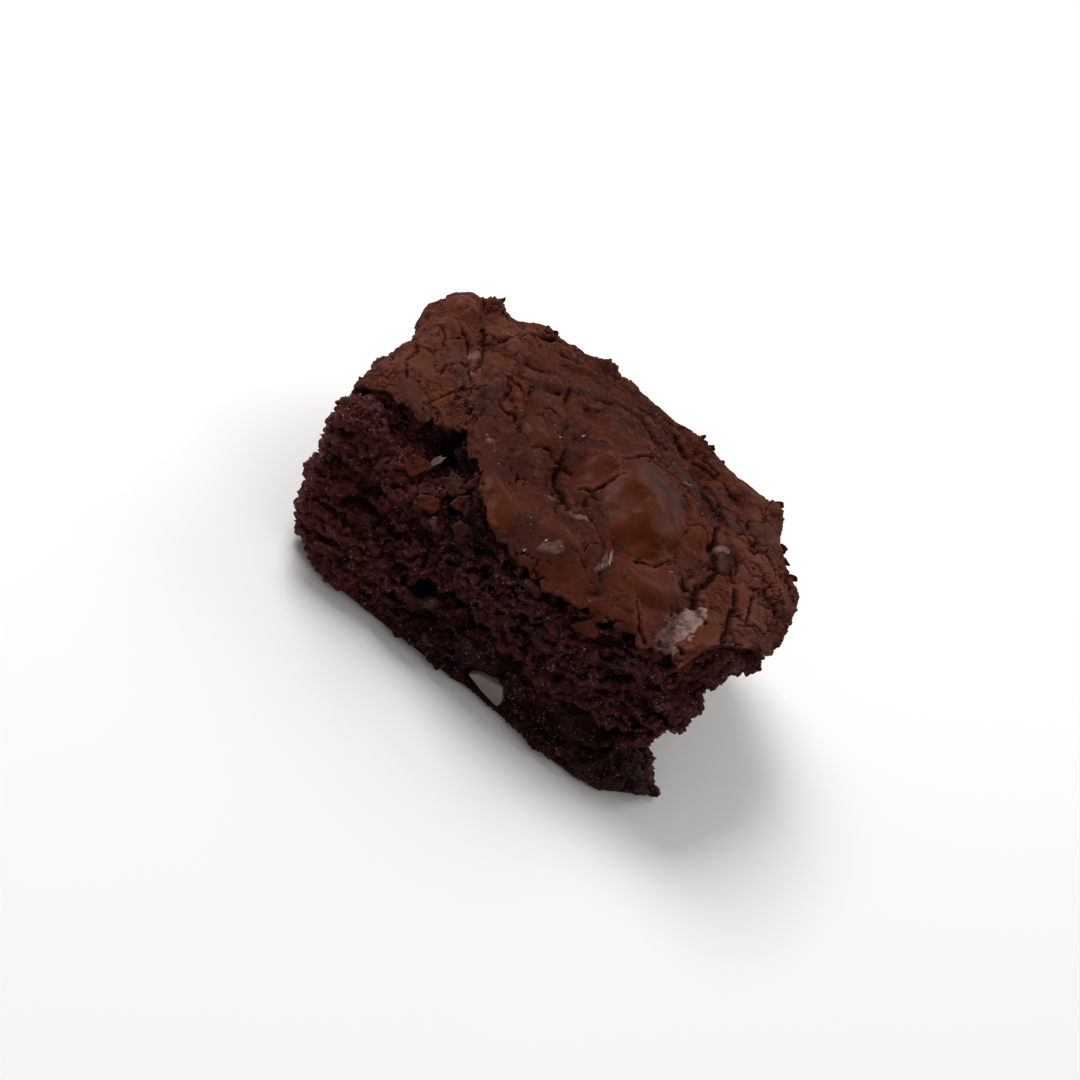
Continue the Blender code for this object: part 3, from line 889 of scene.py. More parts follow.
def grid_normals(points):
    """The normals at a grid's points."""
    along = np.gradient(points, axis=0)
    across = np.gradient(points, axis=1)
    normals = np.cross(along, across)
    return normals / np.linalg.norm(normals, axis=-1, keepdims=True)


# Dark cracks and crumbly seams of the crust: path across the plan and half width
Crack = namedtuple("Crack", "half path")
CRACKS = (
    Crack(0.16, ((-28.6, 12.6), (-26.4, 10.1), (-24.4, 9.0), (-23.3, 7.1), (-21.6, 4.8), (-20.1, 2.4),
                 (-19.1, -0.2))),
    Crack(0.18, ((-25.3, 19.5), (-23.2, 13.4), (-22.1, 9.7), (-21.3, 5.8))),
    Crack(0.14, ((-31.0, 5.0), (-30.0, 2.3), (-29.2, 0.3), (-29.6, -3.0), (-27.8, -6.3))),
    Crack(0.12, ((-24.6, -1.4), (-24.7, 0.2), (-23.9, 2.0), (-22.8, 5.9))),
    Crack(0.14, ((-20.5, 2.4), (-21.6, -2.5), (-22.2, -5.4), (-23.4, -8.1))),
    Crack(0.32, ((22.5, 3.0), (23.8, -1.0), (22.6, -6.0), (23.1, -10.1), (25.5, -12.3))),
    Crack(0.30, ((17.1, 8.2), (20.6, 8.5), (21.5, 3.6), (22.5, 3.0))),
    Crack(0.16, ((22.3, 13.6), (26.1, 10.9), (29.7, 10.8), (31.8, 7.7))),
    Crack(0.30, ((27.0, -0.9), (29.0, -4.2), (28.9, -9.9), (29.2, -15.8), (28.6, -20.5))),
    Crack(0.15, ((30.0, 0.6), (30.9, -6.1), (33.9, -5.7))),
    Crack(0.15, ((29.4, -11.0), (31.6, -12.5), (33.5, -11.5))),
    Crack(0.12, ((3.3, 4.5), (5.4, 8.2), (7.5, 10.2))),
    Crack(0.12, ((9.9, 11.7), (14.0, 10.0), (17.1, 8.2))),
    Crack(0.13, ((0.7, -4.8), (2.4, -4.0), (3.4, -1.6), (4.0, 0.5), (5.0, 2.0))),
    Crack(0.11, ((13.2, -10.6), (15.3, -8.2), (17.0, -4.6))),
    Crack(0.12, ((16.3, -17.4), (18.1, -20.4), (20.4, -21.5))),
    Crack(0.26, ((-2.9, -2.0), (-1.0, -5.1), (0.2, -8.0), (1.4, -10.5))),
    Crack(0.12, ((-31.8, 16.1), (-30.2, 10.0), (-27.0, 6.5))),
    Crack(0.12, ((-24.0, 22.2), (-20.2, 21.7), (-16.0, 22.5))),
    Crack(0.20, ((-20.8, 12.7), (-19.0, 20.3), (-14.2, 26.5))),
    Crack(0.22, ((6.0, 20.9), (12.0, 18.6), (18.2, 15.2), (22.3, 10.0))),
)

# Cracks wider than this have crumbly dark sides
SEAM_HALF = 0.21

# Folds of the crust: valleys that open into a crack in places, as paths across the plan
FOLDS = (
    ((-15.7, 4.2), (-13.4, 1.1), (-11.0, -1.5), (-9.5, -5.9)),
    ((-9.0, 13.2), (-5.8, 5.5), (-3.5, 0.9), (-2.0, -3.2), (-0.2, -10.3)),
    ((-7.7, 13.9), (-4.4, 16.6), (-0.8, 18.3), (4.4, 16.9), (10.5, 12.9)),
    ((-9.3, 10.8), (-11.9, 9.8), (-13.0, 6.3), (-12.5, 1.7)),
    ((-13.4, 23.6), (-6.8, 24.9), (1.1, 24.2), (9.5, 21.6), (18.2, 19.7), (24.7, 13.7)),
    ((-4.8, 26.8), (3.2, 26.0), (12.1, 23.6), (20.3, 18.5)),
    ((4.7, -8.4), (8.0, -10.5), (9.5, -15.0), (11.0, -19.5)),
    ((-16.5, 12.0), (-10.5, 16.5)),
    ((13.0, 16.8), (19.5, 12.5), (24.5, 6.0), (26.5, 1.0)),
)

# Orange, smooth patches without a dome of their own, and greyish patches, as ellipses in the plan
ORANGE_PATCHES = (
    Patch(13.2, -2.0, 6.4, 4.0, 79, 1.0),
    Patch(26.4, -8.0, 9.5, 1.8, 96, 0.75),
    Patch(-14.6, 15.5, 3.4, 1.8, 40, 0.7),
    Patch(-26.5, 13.5, 3.6, 2.2, 75, 0.5),
    Patch(2.6, -8.2, 2.6, 1.6, 20, 0.6),
    Patch(3.0, 10.4, 3.6, 2.4, 30, 0.4),
)
GREY_PATCHES = (
    Patch(11.4, 6.0, 3.6, 4.4, 95, 1.0),
    Patch(5.0, -8.0, 4.0, 2.2, 80, 0.5),
    Patch(24.6, 4.2, 1.6, 1.2, 60, 0.8),
)

# Smaller swellings on the crust's blisters, as ellipses in the plan with their height
LOBES = (
    Patch(12.7, -1.6, 5.0, 4.0, 70, 0.60),
    Patch(2.4, 3.4, 2.6, 1.8, 40, 0.35),
    Patch(-11.5, 6.4, 3.0, 2.2, 70, 0.35),
    Patch(-18.0, 14.0, 3.4, 2.4, 60, 0.40),
    Patch(-26.0, 12.0, 3.6, 2.4, 80, 0.40),
)

# Silvery wrinkled film torn loose from the crust, and small silvery patches
FILM = Patch(23.2, -15.8, 7.4, 1.8, 82, 0.25)
GLAZED = (
    Patch(-22.6, 8.6, 1.5, 0.7, 100),
    Patch(-21.2, 4.4, 1.0, 0.6, 100),
    Patch(-20.4, 1.6, 1.0, 0.7, 100),
    Patch(-13.2, -6.6, 0.7, 0.5, 40),
    Patch(9.6, -15.2, 2.2, 0.5, 80),
    Patch(2.6, -18.3, 1.5, 0.7, 30),
    Patch(-1.4, -7.4, 1.6, 0.5, 60),
    Patch(3.0, -10.6, 2.2, 0.5, 20),
    Patch(22.4, 3.8, 1.2, 0.7, 60),
)


def patch_share(patches, x, y, drift):
    """How fully each place lies in one of several patches, whose edges wander with the drift."""
    shares = [patch.rise * smooth(1.15, 0.80, ellipse_reach(patch, x, y) + drift) for patch in patches]
    return np.max(shares, axis=0)


def crust_zones(points, s, t, down):
    """What the crust's relief reads at each point: noises, the parts of the crust and how calm it is."""
    x, y = points[:, 0], points[:, 1]
    at = SimpleNamespace(points=points, x=x, y=y)
    at.drift = 0.10 * noise_at(points, 3.0, 103.0) + 0.04 * noise_at(points, 0.9, 104.0)
    at.warp = noise_vector(points, 3.2, 101.0)
    at.small = noise_vector(points, 0.9, 107.0)
    at.tiny = noise_at(points, 0.45, 110.0)
    at.folded = points + 1.1 * at.warp + 0.20 * at.small
    at.gloss = np.array(GLOSS)[:, None]
    at.reaches = np.array([ellipse_reach(blister, x, y) + at.drift for blister in BLISTERS])
    at.blister = np.max(at.gloss * smooth(1.04, 0.84, at.reaches), axis=0)
    at.orange = patch_share(ORANGE_PATCHES, x, y, 3.0 * at.drift)
    at.calm = (1.0 - 0.9 * at.blister) * (1.0 - 0.5 * at.orange)
    at.left = smooth(-12.0, -19.0, x)
    at.right = smooth(17.0, 23.0, x + 1.5 * at.warp[:, 0])
    at.back = smooth(9.0, 16.0, y + 0.15 * np.abs(x) + at.warp[:, 1])
    at.outer = highest(smooth(0.90, 1.0, highest(np.abs(s), t)), down)
    at.steep = highest(smooth(0.1, 0.6, at.outer), smooth(0.80, 0.92, t))
    at.coarse = highest(0.8 * at.right, 0.7 * at.back, 0.2 * at.left, at.outer) * at.calm
    at.busy = smooth(-0.35, 0.45, noise_at(points, 6.0, 119.0) + 0.5 * at.coarse - 0.2)
    return at


def soft_relief(at, shape):
    """The crust's soft folds, fine wrinkles, shoulders and swellings."""
    height = noise_at(at.folded, 5.2, 111.0) * 0.8 * shape.fold_height * (1.0 - 0.5 * at.blister)
    height += noise_at(at.folded, 2.3, 113.0) * 0.22 * shape.fold_height * at.calm
    wrinkles = fractal_at(at.folded, 1.4, 7.0, octaves=3) * shape.wrinkle_height
    height += wrinkles * at.calm * (0.5 + 0.9 * at.busy)
    height += fractal_at(at.points, 0.6, 8.0, octaves=2) * 0.30 * shape.wrinkle_height * at.calm
    height += sum(round_hill(rise, at.x, at.y) for rise in SHOULDERS)
    height += 0.9 * ridge(path_distance(CREASES[0].path, at.x, at.y), CREASES[0].half)
    for lobe in LOBES:
        height += lobe.rise * smooth(1.05, 0.45, ellipse_reach(lobe, at.x, at.y) + at.drift)
    fold_line = np.abs(noise_at(at.folded, 4.4, 115.0))
    here = smooth(0.0, 0.5, noise_at(at.points, 5.5, 116.0) + 0.3 * at.coarse)
    return height - 0.5 * shape.fold_depth * (smooth(0.22, 0.0, fold_line) * here) * at.calm


def plate_relief(height, at, shape):
    """Adds the crust's rough lumps and its plates, with the cracks and raised lips between them."""
    half = shape.crack_half
    lump, lump_next, _ = cells_at(at.folded, 2.3, 25.0)
    lump_edge = (lump_next - lump) * 2.3 + 0.08 * at.tiny
    height += smooth(0.0, 0.7, lump_edge) * shape.lump_height * at.coarse * at.busy
    crack = 0.6 * smooth(1.6 * half, 0.4 * half, lump_edge) * at.coarse * smooth(0.45, 0.85, at.busy)

    plate, plate_next, middle = cells_at(at.folded, shape.plate_size, 5.0)
    edge = (plate_next - plate) * shape.plate_size + 0.12 * at.tiny
    own = cell_number(middle)
    lively = noise_at(at.points, 5.0, 117.0) + highest(0.25 * at.left, 0.45 * at.right) - 0.12
    lively = smooth(-0.1, 0.3, lively)
    crack = highest(crack, smooth(2.2 * half, 0.6 * half, edge) * lively * at.calm)
    lip = smooth(0.8, 0.25, edge) * (1.0 - crack) * lively * at.calm
    height += (0.5 + own) * shape.plate_step * smooth(0.0, 1.2, edge) * at.calm * lively
    tint = 0.5 + (own - 0.5) * smooth(0.0, 0.5, edge) * (0.65 + 0.35 * lively)
    return height, crack, lip, tint


def path_relief(height, crack, lip, at, shape):
    """Adds the cracks, crumbly seams and folds that run along paths."""
    x, y, small, tiny = at.x, at.y, at.small, at.tiny
    wander_x, wander_y = wave(x, y, 0.0, 5.0, 51.0), wave(x, y, 0.0, 5.0, 57.0)
    seam = np.zeros(len(x))
    for number, path in enumerate(CRACKS):
        near = path_gap(path.path, x + 0.55 * wander_x, y + 0.55 * wander_y)
        near += 0.6 * path.half * small[:, number % 3] + 0.4 * path.half * tiny
        line = smooth(1.5 * path.half, 0.5 * path.half, near) * (1.0 - 0.9 * at.steep)
        crack = highest(crack, line)
        lip = highest(lip, smooth(1.3 + path.half, 0.3 + path.half, near) * (1.0 - line))
        height -= path.half * smooth(3.0 * path.half, 0.0, near)
        if path.half > SEAM_HALF:
            seam = highest(seam, smooth(1.1, 0.2, near))
    open_here = smooth(-0.05, 0.35, noise_at(at.points, 2.6, 171.0))
    fold = np.zeros(len(x))
    for number, path in enumerate(FOLDS):
        near = path_gap(path, x + 0.9 * wander_x, y + 0.9 * wander_y) + 0.15 * small[:, number % 3]
        fold = highest(fold, ridge(near, shape.fold_half))
        line = smooth(0.32, 0.10, near + 0.15 * small[:, 0] + 0.08 * tiny)
        crack = highest(crack, line * open_here * (1.0 - at.steep))
    height -= shape.fold_depth * fold * (1.0 - 0.6 * at.blister)
    height += lip * shape.lip_height - crack * shape.crack_depth
    return height, crack, lip, seam, fold


def crag_relief(height, seam, at, shape):
    """Adds the crust's pinholes, rubble and crags, and the grooves round its blisters."""
    pit, _, pit_middle = cells_at(at.points, 1.7, 15.0)
    hole_size = 0.06 + 0.16 * cell_number(pit_middle, 1.0) ** 2
    often = 0.06 + 0.40 * at.right * at.busy + 0.08 * at.left + 0.16 * at.back * at.busy
    hole = smooth(1.0, 0.5, pit / hole_size) * (cell_number(pit_middle, 2.0) < often) * at.calm
    craggy = np.max([hill(at.x - crag.x, at.y - crag.y, (2.4, 2.4)) for crag in CRAGS], axis=0)
    rubble = np.abs(fractal_at(at.points, 0.8, 27.0, octaves=2))
    rubble *= highest(0.6 * seam, 1.5 * craggy, 0.4 * at.outer * smooth(0.0, 0.5, at.warp[:, 2]))
    height += shape.rubble_height * rubble - hole * shape.pit_depth

    crag, _, crag_middle = cells_at(at.points + 0.4 * at.warp, 1.3, 45.0)
    tall = cell_number(crag_middle) * (cell_number(crag_middle, 3.0) < 0.50)
    uneven = smooth(0.50, 0.10, crag) * tall + 0.8 * fractal_at(at.points, 1.5, 163.0, octaves=3)
    height += uneven * shape.crag_height * at.outer

    ring = np.min(np.where(at.gloss > 0.0, np.abs(at.reaches - 1.06), 9.0), axis=0)
    groove = ridge(ring, 0.03) * smooth(0.1, 0.5, noise_at(at.points, 3.0, 131.0))
    height -= groove * 0.12 * shape.crack_depth
    return height, hole, rubble, groove


def film_relief(height, at):
    """Lays the wrinkled film and the glazed patches over the crust's relief."""
    x, y, small = at.x, at.y, at.small
    _, _, scrap = cells_at(at.points, 1.9, 151.0)
    film_edge = (0.55 * (cell_number(scrap) - 0.5) + 0.10 * at.warp[:, 1] + 0.05 * small[:, 1]
                 + 0.03 * at.tiny)
    film = smooth(1.04, 1.0, ellipse_reach(FILM, x, y) + film_edge)
    along_film = (at.points + 0.35 * small) * (1.0, 0.75, 1.0)
    crinkle = smooth(0.30, 0.0, np.abs(noise_at(along_film, 0.60, 143.0)))
    lighter = smooth(-0.8, 0.8, (x - FILM.x) / FILM.across + 0.15 * (y - FILM.y) + 0.4 * at.warp[:, 1])
    lighter = highest(lighter, 0.6 * (1.0 - film)) + 0.25 * (crinkle - 0.4) + 0.3 * small[:, 0]
    height = height * (1.0 - 0.7 * film) + film * (0.6 * FILM.rise + 0.05 * crinkle + 0.08 * small[:, 1])
    patches = np.array([ellipse_reach(patch, x, y) for patch in GLAZED])
    glazed = smooth(1.15, 0.8, np.min(patches, axis=0) + 0.35 * small[:, 2])
    height += 0.20 * glazed * (0.4 + crinkle)
    return height, film, glazed, lighter


def crust_detail(points, s, t, down, edges, shape):
    """The crust's fine relief along its normals, and the masks that its material reads."""
    at = crust_zones(points, s, t, down)
    height, crack, lip, tint = plate_relief(soft_relief(at, shape), at, shape)
    height, crack, lip, seam, fold = path_relief(height, crack, lip, at, shape)
    height, hole, rubble, groove = crag_relief(height, seam, at, shape)
    height, film, glazed, lighter = film_relief(height, at)
    height = np.where(height < 0.0, -shape.deepest * np.tanh(-height / shape.deepest), height)
    # How far each point lies below its neighbours: the crust's material paints shade in hollows and a
    # highlight on ridges with it
    hollow = blurred(height, edges, 36) - height
    masks = {
        "blister": at.blister,
        "orange": highest(at.orange, 0.80 * at.blister),
        "seam": np.clip(seam * smooth(0.1, 0.6, 0.5 + 0.6 * at.small[:, 1]) + 0.5 * rubble, 0.0, 1.0),
        "fold": fold,
        "plate": tint,
        "grey": patch_share(GREY_PATCHES, at.x, at.y, 4.0 * at.drift),
        "crack": np.clip(crack + 0.8 * hole + 0.15 * groove, 0.0, 1.0) * (1.0 - 0.6 * film),
        "lip": lip,
        "film": highest(film, 0.6 * glazed),
        "crinkle": np.clip(lighter, 0.0, 1.0),
        "end_light": highest(0.8 * at.left * smooth(-14.0, -4.0, at.y),
                             smooth(20.0, 27.0, at.x + at.warp[:, 0])),
        "hairs": highest(0.45 * at.right, 0.7 * at.left, 0.5 * at.back, 0.35) * at.calm,
        "hollow": hollow / 0.24 * (1.0 - 0.5 * film),
    }
    return height, masks


def make_crust(shape, colours):
    """The papery crust: a thin closed sheet with ragged edges, laid over the crumb."""
    columns = UNDER_STEP * int(round(2.0 * CRUST_REACH * CRUST_HALF_LENGTH / shape.crust_cell / UNDER_STEP))
    rows = UNDER_STEP * int(round(CRUST_DEPTH / shape.crust_cell / UNDER_STEP))
    points, s, t, down = crust_base(columns, rows)
    size = points.shape[:2]
    near_rim = smooth(0.80, 0.95, np.maximum(np.abs(s), t))
    share = 0.5 * near_rim.ravel()
    edges = grid_edges(columns, rows)
    flat = relaxed(points.reshape(-1, 3), edges, 26, share)
    points = flat.reshape(*size, 3)
    normals = grid_normals(points)
    height, masks = crust_detail(flat, s.ravel(), t.ravel(), down.ravel(), edges, shape)

    steps = np.minimum(*np.meshgrid(*[np.minimum(np.arange(n), n - 1 - np.arange(n)) for n in size],
                                    indexing="ij"))
    inside = smooth(0.0, 7.0, steps)
    curl = noise_at(flat, 3.0, 151.0).reshape(size)
    lifted = (0.15 + 0.45 * curl) * shape.edge_curl * (1.0 - smooth(0.0, 12.0, steps))
    upper = points + normals * (height.reshape(size) + lifted)[..., None]
    thick = mix(shape.edge_thickness, shape.crust_thickness, inside)
    rough_under = 0.18 * noise_at(flat, 0.8, 153.0).reshape(size)
    thick = thick + rough_under + np.maximum(height.reshape(size), 0.0) * inside
    lower = upper - normals * thick[..., None]

    under_number, under_faces, kept = under_sheet(columns, rows, UNDER_STEP, flat.shape[0])
    upper_number = np.arange(flat.shape[0]).reshape(size)
    quads = np.stack((upper_number[:-1, :-1], upper_number[1:, :-1],
                      upper_number[1:, 1:], upper_number[:-1, 1:]), -1).reshape(-1, 4)
    faces = quads.tolist() + under_faces + side_faces(upper_number, under_number)
    everything = np.concatenate((upper.reshape(-1, 3), lower[kept]))
    crust = made_object("brownie_crust", everything, faces, crust_skin(colours))
    masks["edge"] = 1.0 - smooth(0.0, 3.5, steps).ravel()
    for name, values in masks.items():
        under = np.zeros(int(kept.sum())) + (name == "edge") * 0.6
        set_mask(crust, name, np.concatenate((values, under)))
    stand_for_brownie(crust)
    return crust


def under_sheet(columns, rows, step, first_number):
    """The sheet's underside: a frame of fine cells round coarse ones, as numbers, faces and a mask."""
    i, j = np.meshgrid(np.arange(columns + 1), np.arange(rows + 1), indexing="ij")
    frame_i = np.minimum(i, columns - i) <= step
    frame_j = np.minimum(j, rows - j) <= step
    kept = frame_i | frame_j | ((i % step == 0) & (j % step == 0))
    number = np.full(kept.shape, -1)
    number[kept] = first_number + np.arange(kept.sum())
    fine_i = np.minimum(np.arange(columns), columns - 1 - np.arange(columns)) < step
    fine_j = np.minimum(np.arange(rows), rows - 1 - np.arange(rows)) < step
    fine = fine_i[:, None] | fine_j[None, :]
    quads = np.stack((number[:-1, :-1], number[:-1, 1:], number[1:, 1:], number[1:, :-1]), -1)
    faces = quads[fine].tolist()
    for p in range(step, columns - step, step):
        for q in range(step, rows - step, step):
            left = [number[p, k] for k in range(q, q + step) if number[p, k] >= 0]
            far = [number[k, q + step] for k in range(p, p + step) if number[k, q + step] >= 0]
            right = [number[p + step, k] for k in range(q + step, q, -1) if number[p + step, k] >= 0]
            near = [number[k, q] for k in range(p + step, p, -1) if number[k, q] >= 0]
            faces.append([int(n) for n in left + far + right + near])
    return number, faces, kept


def side_faces(upper, under):
    """The faces between the rim of the upper sheet and the rim of the one below it."""
    above, below = [np.concatenate((sheet[:-1, 0], sheet[-1, :-1], sheet[:0:-1, -1], sheet[0, :0:-1]))
                    for sheet in (upper, under)]
    return np.stack((above, below, np.roll(below, -1), np.roll(above, -1)), -1).tolist()


# Loose flakes: middle, half length and width, turn about Z, tilts about its length and width, curl and
# lift, all in millimetres and degrees, with how orange it is
Flake = namedtuple("Flake", "x y half_long half_wide turn roll pitch curl lift orange")
FLAKES = (
    Flake(-19.1, -14.9, 2.0, 1.7, -20, 34, 8, 0.35, 0.8, 1.0),
    Flake(-13.3, -13.4, 2.4, 2.0, -30, 30, -25, 0.9, 1.5, 0.1),
    Flake(-14.6, -18.4, 2.4, 1.3, 42, 38, 5, 0.45, 0.8, 0.60),
    Flake(-10.9, -16.9, 2.2, 1.3, 60, 35, 12, 0.4, 0.8, 0.35),
    Flake(-8.6, -20.2, 2.0, 1.6, 10, 45, 10, 0.3, 0.7, 0.30),
    Flake(-11.2, -15.4, 1.9, 0.8, 70, 40, 5, 0.2, 1.0, 0.20),
    Flake(-20.8, -20.3, 1.2, 0.9, 15, 55, 5, 0.2, 0.2, 0.0),
    Flake(-11.6, -18.8, 1.3, 0.7, -50, 50, 10, 0.4, 0.7, 0.45),
    Flake(-16.6, -17.0, 1.6, 1.1, 35, 30, -10, 0.3, 0.4, 0.1),
)

# Silvery slivers on the crust and in the broken corner, as flakes whose last value is how bright their
# painted glints are
SLIVERS = (
    Flake(-17.6, -11.8, 1.7, 0.48, 72, 35, 10, 0.2, 1.3, 0.55),
    Flake(-5.5, 0.9, 0.26, 0.15, 40, 30, 10, 0.1, 0.10, 0.5),
    Flake(-3.0, 5.3, 0.34, 0.17, 60, 25, 0, 0.1, 0.10, 0.6),
    Flake(-0.3, -20.3, 0.42, 0.20, 60, 30, 0, 0.1, 0.10, 0.5),
    Flake(-14.0, -5.9, 0.32, 0.20, 30, 20, 0, 0.1, 0.10, 0.3),
    Flake(9.4, -15.0, 1.8, 0.55, -68, 40, 8, 0.35, 0.25, 0.2),
    Flake(9.9, -14.2, 1.1, 0.20, -62, 40, 8, 0.25, 0.50, 0.8),
    Flake(18.0, -7.6, 0.60, 0.15, 25, 35, 0, 0.1, 0.15, 0.8),
    Flake(1.3, -18.1, 0.55, 0.20, 75, 30, 0, 0.15, 0.10, 0.6),
    Flake(3.4, -17.9, 0.36, 0.20, 40, -20, 0, 0.1, 0.08, 0.3),
    Flake(13.4, 10.9, 0.8, 0.18, 20, 40, 0, 0.2, 0.15, 0.3),
    Flake(17.6, 7.6, 0.50, 0.22, 80, -30, 0, 0.1, 0.15, 0.5),
    Flake(23.5, 4.0, 0.8, 0.45, 60, 15, 0, 0.2, 0.12, 0.1),
)

# Ragged flakes of crust that stick out of its rim: place in the plan, half sizes, turn, tilts and lift
RimFlake = namedtuple("RimFlake", "x y half_long half_wide turn roll pitch lift")
RIM_FLAKES = (
    RimFlake(-25.2, 23.4, 0.8, 0.6, 100, 50, 20, 0.2),
    RimFlake(-15.7, 26.8, 0.9, 0.7, 80, 60, 0, 0.2),
    RimFlake(11.2, 25.2, 0.7, 0.5, 70, 50, 10, 0.1),
    RimFlake(27.0, 21.8, 1.0, 0.8, 45, 60, 20, 0.2),
    RimFlake(32.4, 16.0, 0.9, 0.6, 20, 65, 15, 0.3),
    RimFlake(34.2, 12.4, 0.8, 0.5, -20, 70, -20, 0.3),
    RimFlake(35.4, 8.6, 0.9, 0.6, 40, 60, 30, 0.3),
    RimFlake(36.4, 3.0, 0.7, 0.5, -20, 50, 10, 0.2),
    RimFlake(31.0, 19.0, 1.1, 0.8, 60, 70, 40, 0.5),
    RimFlake(36.6, -3.0, 0.8, 0.6, 10, 60, 20, 0.2),
    RimFlake(36.4, -9.0, 0.9, 0.6, -40, 65, 0, 0.2),
    RimFlake(13.6, 26.2, 0.8, 0.6, 60, 70, 10, 0.3),
    RimFlake(16.4, 25.6, 0.6, 0.5, 20, 60, 30, 0.2),
)

# Flakes pressed into the front face: place in X and Z, half sizes and turn, with how orange it is
FaceFlake = namedtuple("FaceFlake", "x z half_long half_wide turn orange")
FACE_FLAKES = (
    FaceFlake(12.8, 20.4, 2.2, 1.8, 20, 0.55),
    FaceFlake(30.0, 22.0, 1.2, 0.7, 30, 0.4),
    FaceFlake(11.4, 19.6, 0.7, 0.4, -20, 0.6),
    FaceFlake(26.5, 20.6, 0.8, 0.4, 50, 0.5),
)


# A flake's mesh: spokes and rings, and the corners of its outline
FLAKE_SPOKES = 36
FLAKE_RINGS = 5
FLAKE_CORNERS = 8


def straight_outline(angles, corners, reaches):
    """How far a shape with these corners, joined by straight edges, reaches in each direction."""
    after = np.searchsorted(corners, angles) % len(corners)
    before = after - 1
    gap = np.mod(corners[after] - corners[before], 2.0 * math.pi)
    past = np.mod(angles - corners[before], 2.0 * math.pi)
    a, b = reaches[before], reaches[after]
    return a * b * np.sin(gap) / (a * np.sin(past) + b * np.sin(gap - past))


def flake_points(flake, middle, turn, draw, thickness):
    """A thin curled plate with an angular outline, as points and faces."""
    spokes, rings = FLAKE_SPOKES, FLAKE_RINGS
    angles = np.arange(spokes) * 2.0 * math.pi / spokes
    corners = np.arange(FLAKE_CORNERS) + draw.uniform(-0.40, 0.40, FLAKE_CORNERS)
    corners = corners * 2.0 * math.pi / FLAKE_CORNERS
    jag = straight_outline(angles, corners, draw.uniform(0.55, 1.25, FLAKE_CORNERS))
    jag *= 1.0 + draw.uniform(-0.05, 0.05, spokes)
    along, across = [np.zeros(1)], [np.zeros(1)]
    for ring in range(1, rings + 1):
        out = ring / rings * jag
        along.append(np.cos(angles) * out * flake.half_long)
        across.append(np.sin(angles) * out * flake.half_wide)
    along, across = np.concatenate(along), np.concatenate(across)
    curl = getattr(flake, "curl", 0.25)
    bend = curl * ((along / flake.half_long) ** 2 + 0.4 * along * across / flake.half_long)
    flat = np.stack((along, across, np.full(len(along), flake.x)), -1)
    bend += 0.14 * noise_at(flat, 0.9) + 0.05 * noise_at(flat, 0.35)
    upper = np.stack((along, across, bend), -1)
    count = len(upper)
    local = np.concatenate((upper, upper - (0.0, 0.0, thickness)))
    points = local @ turn.T + middle
    faces = []
    for k in range(spokes):
        n = (k + 1) % spokes
        faces.append((0, 1 + k, 1 + n))
        faces.append((count, count + 1 + n, count + 1 + k))
        for ring in range(rings - 1):
            a, b = 1 + ring * spokes, 1 + (ring + 1) * spokes
            faces.append((a + k, b + k, b + n, a + n))
            faces.append((count + a + n, count + b + n, count + b + k, count + a + k))
        last = 1 + (rings - 1) * spokes
        faces.append((last + k, count + last + k, count + last + n, last + n))
    return points, faces


def turned(roll, pitch, turn):
    """The turn by three angles in degrees, as an array."""
    return np.array(Euler([math.radians(angle) for angle in (roll, pitch, turn)]).to_matrix())


def flake_turn(flake):
    """A flake's turn about Z, and then its tilts."""
    return turned(flake.roll, flake.pitch, 0.0) @ turned(0.0, 0.0, flake.turn)


class Gathered:
    """Collects small closed parts into the points and faces of one mesh."""

    def __init__(self):
        self.points, self.faces, self.values, self.count = [], [], [], 0

    def take(self, points, faces, value):
        self.faces += [tuple(self.count + corner for corner in face) for face in faces]
        self.points.append(points)
        self.values.append(np.full(len(points), value))
        self.count += len(points)

    def make(self, name, material, mask, slot, smooth_shaded=True):
        made = made_object(name, np.concatenate(self.points), self.faces, material, smooth_shaded)
        set_mask(made, mask, np.concatenate(self.values))
        stand_for_brownie(made)
        return made


def piece_points(name):
    """The points and normals of a piece that is already made."""
    if name not in bpy.data.objects:
        raise RuntimeError("the piece " + name + " has to be made first")
    mesh = bpy.data.objects[name].data
    return mesh_points(mesh), mesh_normals(mesh)


def nearest_top(points, x, y, reach):
    """The highest of the points that are nearest to a place in the plan, within a reach."""
    gap = np.hypot(points[:, 0] - x, points[:, 1] - y)
    near = points[gap < gap.min() + reach]
    return near[np.argmax(near[:, 2])]


def make_flakes(shape, colours):
    """Flakes of crust: loose in the broken corner, on the crust's rim and in the front face."""
    draw = np.random.default_rng(5)
    crust, crumb = piece_points("brownie_crust")[0], piece_points("brownie_crumb")[0]
    flakes = Gathered()
    for flake in FLAKES:
        below = nearest_top(crumb, flake.x, flake.y, 0.15)[2]
        middle = np.array((flake.x, flake.y, below + 0.35 * flake.lift + 0.05))
        loose = flake_points(flake, middle, flake_turn(flake), draw, shape.flake_thickness)
        flakes.take(*loose, flake.orange)
    for flake in RIM_FLAKES:
        middle = nearest_top(crust, flake.x, flake.y, 0.3) + (0.0, 0.0, 0.5 * flake.lift - 0.2)
        flakes.take(*flake_points(flake, middle, flake_turn(flake), draw, shape.flake_thickness), 0.2)
    for flake in FACE_FLAKES:
        gap = np.hypot(crumb[:, 0] - flake.x, crumb[:, 2] - flake.z) + 10.0 * (crumb[:, 1] > 0.0)
        middle = np.array((flake.x, crumb[gap < gap.min() + 0.4, 1].min() - 0.25, flake.z))
        turn = turned(90.0, 0.0, 0.0) @ turned(8.0, -6.0, flake.turn)
        flakes.take(*flake_points(flake, middle, turn, draw, shape.flake_thickness), flake.orange)
    return flakes.make("crust_flakes", loose_flake(colours), "orange", "crust")


